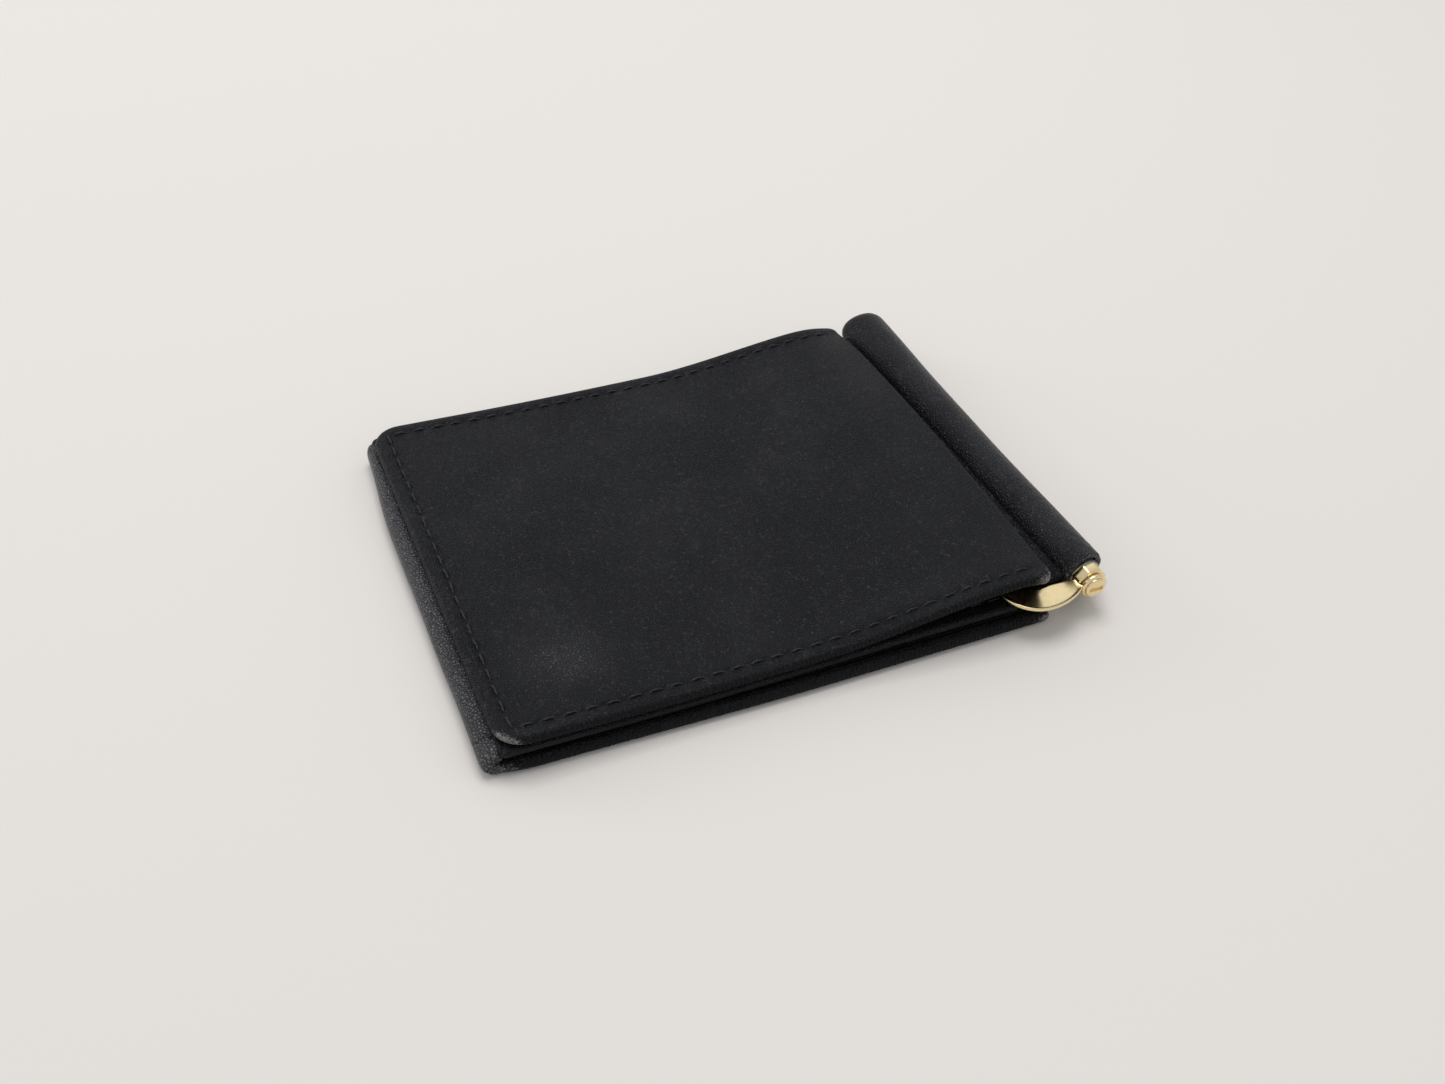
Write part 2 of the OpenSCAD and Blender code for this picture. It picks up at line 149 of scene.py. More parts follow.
class WalletColours(bpy.types.PropertyGroup):
    leather: colour("Leather", "Dyed and polished calf leather", "#0e0e0f")
    worn: colour("Worn leather", "Bare fibre where the finish has rubbed off", "#8d8b88")
    lining: colour("Lining", "Split leather of the lining and pockets", "#19191c")
    thread: colour("Thread", "Waxed polyester thread", "#1c1c20")
    gilt: colour("Gilt", "Gold plate on brass", "#f4e0b0")
    steel: colour("Steel", "Plain spring steel", "#a9abae")
    floor: colour("Floor", "Pale studio floor", "#e3dfdb")


# ---------------------------------------------------------------- mesh helpers


def finish_piece(name, mesh, material, body, replaced=()):
    """Puts a mesh in the scene, with its finish, its body and the nodes that it stands for."""
    mesh.materials.clear()
    mesh.materials.append(material)
    for polygon in mesh.polygons:
        polygon.use_smooth = True
    piece = bpy.data.objects.new(name, mesh)
    bpy.context.scene.collection.objects.link(piece)
    if body:
        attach(piece, body)
    if replaced:
        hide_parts(*replaced)
    return piece


def mesh_from(name, verts, faces, values=None, weld=0.0):
    """A mesh from sketch points; values are named numbers, one for each point. Points less than
    weld millimetres apart become one."""
    mesh = bpy.data.meshes.new(name)
    mesh.from_pydata(to_frame(verts).tolist(), [], [tuple(f) for f in faces])
    for key, numbers in (values or {}).items():
        layer = mesh.attributes.new(key, "FLOAT", "POINT")
        layer.data.foreach_set("value", np.asarray(numbers, np.float32).ravel())
    form = bmesh.new()
    form.from_mesh(mesh)
    if weld:
        bmesh.ops.remove_doubles(form, verts=form.verts, dist=weld * MM)
    bmesh.ops.recalc_face_normals(form, faces=form.faces)
    form.to_mesh(mesh)
    form.free()
    return mesh


def loft(rings):
    """Points and faces of a closed tube through rings that have equal numbers of points."""
    rings = np.asarray(rings, float)
    rows, count = rings.shape[:2]
    faces = []
    for i in range(rows - 1):
        for j in range(count):
            k = (j + 1) % count
            faces.append((i * count + j, i * count + k, (i + 1) * count + k, (i + 1) * count + j))
    faces.append(tuple(range(count))[::-1])
    faces.append(tuple((rows - 1) * count + j for j in range(count)))
    return rings.reshape(-1, 3), faces


def smooth_step(t):
    """Goes from 0 to 1 with a soft start and a soft end."""
    t = np.clip(t, 0, 1)
    return t * t * (3 - 2 * t)


def hump(x, centre, width):
    """A soft hill, 1 high, at a centre."""
    return np.exp(-((x - centre) / width) ** 2)


def ripple(a, b, wave, seed=0.0):
    """Soft uneven waves between -1 and 1, the same in every run."""
    a, b = a * 2 * math.pi / wave, b * 2 * math.pi / wave
    return (np.sin(a + 1.3 * np.sin(0.7 * b + seed)) + np.sin(0.61 * b + 2.1 + seed)
            + np.sin(0.83 * a - 0.57 * b + 4.2 * seed)) / 3


def grid_lines(low, high, rim, fine_to, step):
    """Grid lines from low to high: close together over both edges, then evenly spaced."""
    edge = [rim * (1 - math.cos(math.pi / 2 * k / 6)) for k in range(7)]
    count = max(1, round((fine_to - rim) / 0.35))
    edge += [rim + (fine_to - rim) * (k + 1) / count for k in range(count)]
    inner = max(2, round((high - low - 2 * fine_to) / step))
    middle = [low + fine_to + (high - low - 2 * fine_to) * k / inner for k in range(1, inner)]
    return np.array([low + e for e in edge] + middle + [high - e for e in reversed(edge)])


class Outline:
    """A rectangle with rounded corners: radii are near left, far left, near right, far right."""

    def __init__(self, x0, x1, y0, y1, radii):
        self.x0, self.x1, self.y0, self.y1, self.radii = x0, x1, y0, y1, radii

    def corners(self):
        """Radius, centre and outward signs in x and y of each corner."""
        for i, r in enumerate(self.radii):
            left, near = i < 2, i % 2 == 0
            centre = (self.x0 + r if left else self.x1 - r, self.y0 + r if near else self.y1 - r)
            yield r, centre, -1 if left else 1, -1 if near else 1

    def rounded(self, u, v):
        """Moves the points of a square grid, so that its corners become round."""
        x, y = u.copy(), v.copy()
        for r, (cx, cy), sx, sy in self.corners():
            a, b = (u - cx) * sx / r, (v - cy) * sy / r
            inside = (a > 0) & (b > 0)
            x = np.where(inside, cx + sx * r * a * np.sqrt(np.clip(1 - b * b / 2, 0, 1)), x)
            y = np.where(inside, cy + sy * r * b * np.sqrt(np.clip(1 - a * a / 2, 0, 1)), y)
        return x, y

    def distance(self, x, y, right=True):
        """Distance from the edge; without right, the side beside the roll doesn't count."""
        d = np.minimum(np.minimum(x - self.x0, y - self.y0), self.y1 - y)
        if right:
            d = np.minimum(d, self.x1 - x)
        for r, (cx, cy), sx, sy in self.corners():
            if sx > 0 and not right:
                continue
            inside = ((x - cx) * sx > 0) & ((y - cy) * sy > 0)
            d = np.where(inside, r - np.hypot(x - cx, y - cy), d)
        return np.maximum(d, 0)


def leaf_mesh(name, outline, top, bottom, rim, fine_to=4.2, step=1.0, shift=None, wear=None,
              rub=None):
    """A thin closed leaf with rounded edges, rim wide. Top and bottom are heights as functions of
    x, y and the distance from the edge; shift moves points sideways; wear gives worn patches, and
    the last argument gives painted sheen and handling marks."""
    us = grid_lines(outline.x0, outline.x1, rim, fine_to, step)
    vs = grid_lines(outline.y0, outline.y1, rim, fine_to, step)
    u, v = np.meshgrid(us, vs)
    x, y = outline.rounded(u, v)
    d = outline.distance(x, y)
    high, low = top(x, y, d), bottom(x, y, d)
    middle = (high + low) / 2
    curve = np.sqrt(np.clip(1 - np.clip(1 - d / rim, 0, 1) ** 2, 0, 1))
    upper = middle + (high - middle) * curve
    lower = middle - (middle - low) * curve
    dx, dy = shift(x, y) if shift else (0, 0)
    rows, columns = u.shape
    side = np.minimum(y - outline.y0, outline.y1 - y) < np.minimum(x - outline.x0, outline.x1 - x)
    along = np.where(side, x, y)
    worn = wear(x, y, d) if wear else np.zeros_like(x)
    # Painted sheen and handling marks, one value for each point
    rubbed = rub(x, y) if rub else np.zeros_like(x)
    points, faces = [], []
    for number, z in enumerate((upper, lower)):
        points.append(np.stack([x + dx, y + dy, z], -1).reshape(-1, 3))
        first = number * rows * columns
        index = np.arange(rows * columns).reshape(rows, columns) + first
        quads = np.stack([index[:-1, :-1], index[:-1, 1:], index[1:, 1:], index[1:, :-1]], -1)
        faces.extend(quads.reshape(-1, 4).tolist())
    marks = {"edge_mm": d, "along_mm": along, "wear": worn, "rub": rubbed}
    return mesh_from(name, np.concatenate(points), faces,
                     {key: np.tile(numbers.ravel(), 2) for key, numbers in marks.items()},
                     weld=0.002)


def directions(points):
    """The direction of travel at each point of a line, 1 long."""
    ways = np.gradient(points, axis=0)
    return ways / np.linalg.norm(ways, axis=1)[:, None]


def tube_along(points, radius, sides=8):
    """Rings of a round thread through points."""
    points = np.asarray(points, float)
    angles = (np.arange(sides) * 2 * math.pi / sides)[:, None]
    rings = []
    for point, way in zip(points, directions(points)):
        across = np.cross(way, (0, 0, 1))
        across /= max(1e-9, np.linalg.norm(across))
        over = np.cross(across, way)
        rings.append(point + radius * (np.cos(angles) * across + np.sin(angles) * over))
    return rings


def thread_mesh(name, lines, radius):
    """One mesh of separate short threads, each along its own line of points."""
    verts, faces = [], []
    for line in lines:
        first = sum(len(v) for v in verts)
        ring_points, ring_faces = loft(tube_along(line, radius))
        faces += [tuple(f + first for f in face) for face in ring_faces]
        verts.append(ring_points)
    return mesh_from(name, np.concatenate(verts), faces)


# ---------------------------------------------------------------- materials


def add(tree, kind, props=None, values=None, links=None):
    """Adds a node, sets its properties and socket values, and links its inputs."""
    node = tree.nodes.new(kind)
    for key, value in (props or {}).items():
        setattr(node, key, value)
    for key, value in (values or {}).items():
        node.inputs[key].default_value = value
    for key, source in (links or {}).items():
        tree.links.new(source, node.inputs[key])
    return node


def blank(name):
    """A new material's tree, its output node and the surface's own coordinates."""
    material = bpy.data.materials.new(name)
    material.use_nodes = True
    tree = material.node_tree
    tree.nodes.clear()
    output = add(tree, "ShaderNodeOutputMaterial")
    place = add(tree, "ShaderNodeTexCoord").outputs["Object"]
    return material, tree, output, place


def calf_leather(colours, sizes):
    """Smooth calf, dyed black and polished by years in a pocket. The eye sees a soft low gloss, a
    fine pebble only where light grazes it, wrinkles along turned edges and rubbed corners. Painted
    sheen and glints lighten the pebble tops where the leather is marked for them."""
    material, tree, output, place = blank("polished_calf_leather")
    grain = add(tree, "ShaderNodeTexVoronoi", {"feature": "DISTANCE_TO_EDGE"},
                {"Scale": 1 / sizes.grain, "Randomness": 1.0}, {"Vector": place})
    pebble = add(tree, "ShaderNodeMapRange", None,
                 {"From Min": 0.0, "From Max": 0.35, "To Min": 0.0, "To Max": 1.0},
                 {"Value": grain.outputs["Distance"]})
    # Grain stands up in patches a centimetre or so across, and is pressed flat between them
    patches = add(tree, "ShaderNodeTexNoise", None, {"Scale": per(14.3), "Detail": 2.0},
                  {"Vector": place})
    amount = add(tree, "ShaderNodeMapRange", None,
                 {"From Min": 0.35, "From Max": 0.7, "To Min": 0.5, "To Max": 1.0},
                 {"Value": patches.outputs["Fac"]})
    pebble_height = add(tree, "ShaderNodeMath", {"operation": "MULTIPLY"}, None,
                        {0: pebble.outputs["Result"], 1: amount.outputs["Result"]})
    # Wrinkles across the turned hems, one for each hem_wrinkle along the edge
    along = add(tree, "ShaderNodeAttribute", {"attribute_name": "along_mm"}).outputs["Fac"]
    edge = add(tree, "ShaderNodeAttribute", {"attribute_name": "edge_mm"}).outputs["Fac"]
    hem = add(tree, "ShaderNodeAttribute", {"attribute_name": "hem"}).outputs["Fac"]
    wander = add(tree, "ShaderNodeTexNoise", None, {"Scale": per(1.11), "Detail": 1.0},
                 {"Vector": place})
    phase = add(tree, "ShaderNodeMath", {"operation": "MULTIPLY_ADD"},
                {1: 2 * math.pi * MM / sizes.hem_wrinkle, 2: 0.0}, {0: along})
    uneven = add(tree, "ShaderNodeMath", {"operation": "MULTIPLY_ADD"}, {1: 11.0},
                 {0: wander.outputs["Fac"], 2: phase.outputs[0]})
    wave = add(tree, "ShaderNodeMath", {"operation": "SINE"}, None, {0: uneven.outputs[0]})
    near_edge = add(tree, "ShaderNodeMapRange", None,
                    {"From Min": 0.2, "From Max": 0.95, "To Min": 1.0, "To Max": 0.0},
                    {"Value": edge})
    hem_mask = add(tree, "ShaderNodeMath", {"operation": "MULTIPLY"}, None,
                   {0: near_edge.outputs["Result"], 1: hem})
    wrinkle = add(tree, "ShaderNodeMath", {"operation": "MULTIPLY"}, None,
                  {0: wave.outputs[0], 1: hem_mask.outputs[0]})
    # Bare fibre at rubbed corners, in flecks a third of a millimetre across
    wear = add(tree, "ShaderNodeAttribute", {"attribute_name": "wear"}).outputs["Fac"]
    flecks = add(tree, "ShaderNodeTexNoise", None,
                 {"Scale": per(0.3125), "Detail": 3.0, "Roughness": 0.8}, {"Vector": place})
    wear_sum = add(tree, "ShaderNodeMath", {"operation": "MULTIPLY_ADD"}, {1: 0.5},
                   {0: wear, 2: flecks.outputs["Fac"]})
    worn = add(tree, "ShaderNodeMapRange", None,
               {"From Min": 0.95, "From Max": 1.1, "To Min": 0.0, "To Max": 0.9},
               {"Value": wear_sum.outputs[0]})
    # The dye is uneven, in clouds of about two centimetres
    tint = add(tree, "ShaderNodeTexNoise", None, {"Scale": per(22.2), "Detail": 3.0},
               {"Vector": place})
    shade = add(tree, "ShaderNodeMapRange", None,
                {"From Min": 0.3, "From Max": 0.7, "To Min": 0.92, "To Max": 1.1},
                {"Value": tint.outputs["Fac"]})
    # The sheen-and-marks attribute paints the pebbles' tops lighter: painted sheen and glints on
    # the polished patches, the fold band and the roll's lit flank, and real lightening at scuffs;
    # below 0 the tops are darker from oil. It also smooths the finish by a seventh where it rubs
    # most
    sheen_and_marks_level = add(tree, "ShaderNodeAttribute", {"attribute_name": "rub"}).outputs["Fac"]
    glinting_pebble_tops = add(tree, "ShaderNodeMath", {"operation": "MULTIPLY"}, None,
               {0: sheen_and_marks_level, 1: pebble.outputs["Result"]})
    dye_and_painted_glint_tone = add(tree, "ShaderNodeMath", {"operation": "MULTIPLY_ADD"}, {1: 9.0},
                   {0: glinting_pebble_tops.outputs[0], 2: shade.outputs["Result"]})
    base = add(tree, "ShaderNodeMix", {"data_type": "RGBA", "blend_type": "MULTIPLY"},
               {"Factor": 1.0, "A": [*colours.leather, 1]}, {"B": dye_and_painted_glint_tone.outputs[0]})
    mixed = add(tree, "ShaderNodeMix", {"data_type": "RGBA"}, {"B": [*colours.worn, 1]},
                {"Factor": worn.outputs["Result"], "A": base.outputs["Result"]})
    gloss = add(tree, "ShaderNodeMapRange", None,
                {"From Min": 0.3, "From Max": 0.7, "To Min": 0.43, "To Max": 0.47},
                {"Value": patches.outputs["Fac"]})
    smoothing = add(tree, "ShaderNodeMapRange", None,
                    {"From Min": 0.0, "From Max": 1.0, "To Min": 0.0, "To Max": -0.14},
                    {"Value": sheen_and_marks_level})
    polish = add(tree, "ShaderNodeMath", {"operation": "ADD"}, None,
                 {0: smoothing.outputs["Result"], 1: gloss.outputs["Result"]})
    edge_rough = add(tree, "ShaderNodeMath", {"operation": "MULTIPLY_ADD"}, {1: 0.15},
                     {0: hem_mask.outputs[0], 2: polish.outputs[0]})
    rough = add(tree, "ShaderNodeMix", {"data_type": "FLOAT"}, {"B": 0.75},
                {"Factor": worn.outputs["Result"], "A": edge_rough.outputs[0]})
    # Pebbles and hem wrinkles stand 0.2 mm proud, deeper than real ones, so that they show
    bump_grain = add(tree, "ShaderNodeBump", None, {"Strength": 1.0, "Distance": 0.2 * MM},
                     {"Height": pebble_height.outputs[0]})
    bump_hem = add(tree, "ShaderNodeBump", None, {"Strength": 1.0, "Distance": 0.2 * MM},
                   {"Height": wrinkle.outputs[0], "Normal": bump_grain.outputs["Normal"]})
    # A waxed finish shines less than bare plastic, and the blue-black dye cools its shine a little
    shader = add(tree, "ShaderNodeBsdfPrincipled", None,
                 {"IOR": 1.45, "Specular IOR Level": 0.24, "Specular Tint": (0.87, 0.9, 1.0, 1)},
                 {"Base Color": mixed.outputs["Result"], "Roughness": rough.outputs["Result"],
                  "Normal": bump_hem.outputs["Normal"]})
    tree.links.new(shader.outputs[0], output.inputs["Surface"])
    return material


def split_leather(colours, sizes):
    """Thin split leather with a matt, fibrous face: no gloss, and a short uneven nap."""
    material, tree, output, place = blank("split_leather_lining")
    # Tufts of nap lie half a millimetre apart, in clouds of about a centimetre
    nap = add(tree, "ShaderNodeTexNoise", None, {"Scale": per(0.455), "Detail": 5.0},
              {"Vector": place})
    cloud = add(tree, "ShaderNodeTexNoise", None, {"Scale": per(11.1), "Detail": 2.0},
                {"Vector": place})
    shade = add(tree, "ShaderNodeMapRange", None,
                {"From Min": 0.3, "From Max": 0.7, "To Min": 0.8, "To Max": 1.5},
                {"Value": cloud.outputs["Fac"]})
    base = add(tree, "ShaderNodeMix", {"data_type": "RGBA", "blend_type": "MULTIPLY"},
               {"Factor": 1.0, "A": [*colours.lining, 1]}, {"B": shade.outputs["Result"]})
    bump = add(tree, "ShaderNodeBump", None, {"Strength": 0.6, "Distance": 0.06 * MM},
               {"Height": nap.outputs["Fac"]})
    shader = add(tree, "ShaderNodeBsdfPrincipled", None,
                 {"IOR": 1.5, "Roughness": 0.68, "Sheen Weight": 0.06, "Sheen Roughness": 0.5},
                 {"Base Color": base.outputs["Result"], "Normal": bump.outputs["Normal"]})
    tree.links.new(shader.outputs[0], output.inputs["Surface"])
    return material


def waxed_thread(colours, sizes):
    """Waxed polyester: three plies twisted together, with a dull shine on each ply."""
    material, tree, output, place = blank("waxed_polyester_thread")
    # The plies come round every 1.3 mm, and a diagonal band repeats ten times in each 2 pi
    plies = add(tree, "ShaderNodeTexWave", {"bands_direction": "DIAGONAL"},
                {"Scale": 2 * math.pi / 10 * per(1.3), "Distortion": 0.5}, {"Vector": place})
    shade = add(tree, "ShaderNodeMapRange", None,
                {"From Min": 0.0, "From Max": 1.0, "To Min": 0.6, "To Max": 1.5},
                {"Value": plies.outputs["Fac"]})
    base = add(tree, "ShaderNodeMix", {"data_type": "RGBA", "blend_type": "MULTIPLY"},
               {"Factor": 1.0, "A": [*colours.thread, 1]}, {"B": shade.outputs["Result"]})
    bump = add(tree, "ShaderNodeBump", None, {"Strength": 0.7, "Distance": 0.08 * MM},
               {"Height": plies.outputs["Fac"]})
    shader = add(tree, "ShaderNodeBsdfPrincipled", None,
                 {"IOR": 1.5, "Roughness": 0.5, "Specular IOR Level": 0.3},
                 {"Base Color": base.outputs["Result"], "Normal": bump.outputs["Normal"]})
    tree.links.new(shader.outputs[0], output.inputs["Surface"])
    return material


def gold_plate(colours, sizes):
    """Pale gold plate on polished brass: mirror-like, with hairlines from handling."""
    material, tree, output, place = blank("polished_gold_plate")
    # Real hairlines are too fine to show, so the scratched patches are 1.25 mm across
    hairlines = add(tree, "ShaderNodeTexNoise", None, {"Scale": per(1.25), "Detail": 4.0},
                    {"Vector": place})
    rough = add(tree, "ShaderNodeMapRange", None,
                {"From Min": 0.3, "From Max": 0.7, "To Min": 0.17, "To Max": 0.27},
                {"Value": hairlines.outputs["Fac"]})
    bump = add(tree, "ShaderNodeBump", None, {"Strength": 0.15, "Distance": 0.02 * MM},
               {"Height": hairlines.outputs["Fac"]})
    shader = add(tree, "ShaderNodeBsdfPrincipled", None,
                 {"Base Color": [*colours.gilt, 1], "Metallic": 1.0},
                 {"Roughness": rough.outputs["Result"], "Normal": bump.outputs["Normal"]})
    tree.links.new(shader.outputs[0], output.inputs["Surface"])
    return material


def spring_steel(colours, sizes):
    """Rolled spring steel, left bright: grey, with fine lines along the strip."""
    material, tree, output, place = blank("rolled_spring_steel")
    # Rolling marks are about two thirds of a millimetre wide and 17 mm long
    stretched = add(tree, "ShaderNodeMapping", None,
                    {"Scale": (per(0.667), per(16.7), per(0.667))}, {"Vector": place})
    lines = add(tree, "ShaderNodeTexNoise", None, {"Scale": 1.0, "Detail": 2.0},
                {"Vector": stretched.outputs["Vector"]})
    rough = add(tree, "ShaderNodeMapRange", None,
                {"From Min": 0.3, "From Max": 0.7, "To Min": 0.28, "To Max": 0.42},
                {"Value": lines.outputs["Fac"]})
    shader = add(tree, "ShaderNodeBsdfPrincipled", None,
                 {"Base Color": [*colours.steel, 1], "Metallic": 1.0},
                 {"Roughness": rough.outputs["Result"]})
    tree.links.new(shader.outputs[0], output.inputs["Surface"])
    return material


def floor_paper(colours, sizes):
    """Matt seamless paper, evenly pale."""
    material, tree, output, place = blank("matt_seamless_paper")
    # Paper fibres are too fine to show, so they are drawn as clumps of 2.5 mm
    fibre = add(tree, "ShaderNodeTexNoise", None, {"Scale": per(2.5), "Detail": 2.0},
                {"Vector": place})
    bump = add(tree, "ShaderNodeBump", None, {"Strength": 0.1, "Distance": 0.1 * MM},
               {"Height": fibre.outputs["Fac"]})
    shader = add(tree, "ShaderNodeBsdfPrincipled", None,
                 {"Base Color": [*colours.floor, 1], "Roughness": 0.85},
                 {"Normal": bump.outputs["Normal"]})
    tree.links.new(shader.outputs[0], output.inputs["Surface"])
    return material


def finish(context, maker):
    """The material that a maker function makes, made once and then shared."""
    key = "wallet_" + maker.__name__
    name = context.scene.get(key)
    if name and name in bpy.data.materials:
        return bpy.data.materials[name]
    material = maker(context.scene.wallet_colours, context.scene.wallet_leather)
    context.scene[key] = material.name
    return material


# ---------------------------------------------------------------- shapes of the leaves


def cover_outline(sizes):
    """The cover's plan, with large free corners and small ones beside the roll."""
    free, inner = sizes.corner_radius / MM, sizes.roll_corner_radius / MM
    return Outline(0, COVER[1].x, 0, LEAF_H, (free, free, inner, inner))


def cover_rise(sizes, x):
    """How far the cover has risen towards the roll at x."""
    start = COVER[1].x - (sizes.level_length + sizes.rise_length) / MM
    rise = COVER[1].z - COVER[0].z - sizes.cover_thickness / MM
    return rise * smooth_step((x - start) * MM / sizes.rise_length)


def cover_sag(x, y):
    """Soft unevenness of the cover: a shallow dip, a lifted free edge and a drooping far corner."""
    dip = -0.6 * hump(x, 38, 24) * (0.5 + 0.5 * hump(y, 5, 40))
    lift = 0.2 * hump(x, 0, 12)
    droop = -1.5 * hump(x, COVER[1].x + 2, 6.5) * hump(y, LEAF_H, 8)
    return dip + lift + droop + 0.05 * ripple(x, y, 31, 0.4)


def stitch_groove(sizes, outline, x, y):
    """Depth of the groove under the stitches: deepest at the holes between them."""
    d = outline.distance(x, y, right=False)
    inset = sizes.stitch_inset / MM
    side = np.minimum(y - outline.y0, outline.y1 - y) < x - outline.x0
    along = np.where(side, x, y)
    pull = 0.6 + 0.4 * np.cos(2 * math.pi * along * MM / sizes.stitch_pitch)
    end = smooth_step((outline.x1 - inset * 0.4 - x) / 1.5)
    return 0.26 * hump(d, inset, 0.42) * pull * end


def cover_top(sizes, outline, x, y):
    """Height of the cover's upper face."""
    base = COVER[0].z + sizes.cover_thickness / MM + cover_rise(sizes, x) + cover_sag(x, y)
    puff = 0.1 * hump(outline.distance(x, y, right=False), 1.5, 0.8)
    # The near hem stands up here and there between its stitches
    near = 0.05 * ripple(x, y, 5.3, 1.1) * hump(y, 1.2, 1.6)
    return base + puff + near - stitch_groove(sizes, outline, x, y)


def cover_bottom(sizes, outline, x, y, d):
    """Height of the cover's lower face, which is let in for the lining."""
    recess = 0.45 * smooth_step((d - sizes.hem_width / MM) / 0.4)
    hang = 0.8 * hump(x, outline.x1 + 1, 3) * hump(y, -0.5, 1.6)
    return COVER[0].z - 0.1 + cover_rise(sizes, x) + cover_sag(x, y) + recess - hang


def cover_shift(x, y):
    """The edge beside the roll bulges a little at its middle, and its near corner hangs out."""
    share = np.clip(x / COVER[1].x, 0, 1) ** 8
    bulge = 1.0 * share * (1 - ((y - LEAF_H / 2) / (LEAF_H / 2)) ** 2)
    return bulge, -0.5 * hump(x, COVER[1].x, 6) * hump(y, 0, 5)


def clip_leaf_sag(x):
    """The clip leaf follows the cover's dip, and lifts a little at the fold."""
    return 0.2 - 0.6 * hump(x, 38, 25) + 0.1 * hump(x, 0, 9)


def corner_wear(outline, strengths, reach=4.5):
    """Rubbed corners: strengths are near left, far left, near right and far right."""
    def worn(x, y, d):
        total = 0.3 * hump(d, 0, 0.4)
        spots = ((outline.x0, outline.y0), (outline.x0, outline.y1),
                 (outline.x1, outline.y0), (outline.x1, outline.y1))
        for strength, (cx, cy) in zip(strengths, spots):
            total = total + strength * hump(np.hypot(x - cx, y - cy), 0, reach) * hump(d, 0, 2.2)
        return total
    return worn


def cover_sheen_and_marks(x, y):
    """Painted sheen and handling marks: above 0 polished, with glints painted lighter on the pebble
    tops, or a lighter scuff; below 0 dark from oil.
    """
    # Two polished patches, where painted glints make the pebble tops lighter
    polished = 0.8 * hump(x, 16, 7) * hump(y, 14, 5) + 0.25 * hump(x, 74, 16) * hump(y, 6.5, 2.2)
    ring = np.hypot((x - 80) / 1.15, y - 52)
    scuffs = 0.14 * hump(ring, 9, 0.9) * smooth_step((84 - x) / 6)
    scuffs = scuffs + 0.7 * hump(x - 0.3 * (y - 33), 46.7, 0.6) * hump(y, 33, 1.8)
    return polished + scuffs - 0.1 * hump(x, 32, 6) * hump(y, 71, 5)


def stitch_path(sizes, outline):
    """The stitch line along the near side, the free side and the far side. Gives a function from
    distance to place, the even pitch that fits and the number of stitches."""
    inset = sizes.stitch_inset / MM
    r = 0.6     # the thread turns each corner on this radius
    x0, y0, y1 = outline.x0 + inset, outline.y0 + inset, outline.y1 - inset
    x1 = outline.x1 - inset
    run, rise, arc = x1 - x0 - r, y1 - y0 - 2 * r, r * math.pi / 2
    total = 2 * run + rise + 2 * arc

    def at(s):
        if s <= run:
            return (x1 - s, y0)
        s -= run
        if s <= arc:
            a = s / r
            return (x0 + r - r * math.sin(a), y0 + r - r * math.cos(a))
        s -= arc
        if s <= rise:
            return (x0, y0 + r + s)
        s -= rise
        if s <= arc:
            a = s / r
            return (x0 + r - r * math.cos(a), y1 - r + r * math.sin(a))
        return (x0 + r + s - arc, y1)

    count = int(total * MM / sizes.stitch_pitch)
    return at, total / count, count


def stitch_arch(t, height, depth=0.3):
    """A stitch rises steeply out of one hole, lies flat and goes down into the next one."""
    return (depth + height) * math.sin(math.pi * t) ** 0.45 - depth


def sew(name, sizes, outline, height, material, body, replaced):
    """Sews one thread piece: each stitch arches from hole to hole along the stitch line."""
    at, pitch, count = stitch_path(sizes, outline)
    gap = (sizes.stitch_pitch - sizes.stitch_length) / MM / 2
    radius = sizes.thread_diameter / MM / 2
    stitches = []
    for i in range(count):
        points = []
        # Hand-guided stitches lean across the line, each by a little more or less
        lean = 0.13 * math.sin(i * 2.3) + 0.1
        for t in np.linspace(0, 1, 9):
            s = i * pitch + gap + t * (pitch - 2 * gap)
            x, y = at(s)
            ahead = at(min(s + 0.05, pitch * count))
            way = Vector((ahead[0] - x, ahead[1] - y)).normalized()
            offset = lean * (t - 0.5)
            x, y = x - way.y * offset, y + way.x * offset
            ground = float(height(np.array(x), np.array(y)))
            points.append((x, y, ground + stitch_arch(t, radius * 0.75)))
        stitches.append(points)
    finish_piece(name, thread_mesh(name, stitches, radius), material, body, replaced)


def sew_flat(name, sizes, width, near_y, height, near_end, material, body, replaced):
    """Sews a flat leaf along its near side as far as near_end, its right side and its far side."""
    inset = sizes.stitch_inset / MM
    mirrored = Outline(-width, 0, near_y, LEAF_H, (3.4, 3.4, 1, 1))
    at, pitch, count = stitch_path(sizes, mirrored)
    gap = (sizes.stitch_pitch - sizes.stitch_length) / MM / 2
    radius = sizes.thread_diameter / MM / 2
    stitches = []
    for i in range(count):
        points = []
        for t in np.linspace(0, 1, 7):
            x, y = at(i * pitch + gap + t * (pitch - 2 * gap))
            ground = float(height(np.array(-x), np.array(y)))
            points.append((-x, y, ground + stitch_arch(t, radius * 0.6)))
        if points[0][1] >= near_y + inset + 1 or points[-1][0] <= near_end:
            stitches.append(points)
    finish_piece(name, thread_mesh(name, stitches, radius), material, body, replaced)


def mark_hem(mesh):
    """Marks the leather within 4 mm of the near and far edges, where its turning wrinkles it."""
    low = min(v.co.y for v in mesh.vertices)
    high = max(v.co.y for v in mesh.vertices)
    values = []
    for vertex in mesh.vertices:
        edge = min(vertex.co.y - low, high - vertex.co.y)
        values.append(min(1.0, 1.6 * max(0.0, 1 - edge / (4 * MM))))
    layer = mesh.attributes.new("hem", "FLOAT", "POINT")
    layer.data.foreach_set("value", values)


# ---------------------------------------------------------------- operators


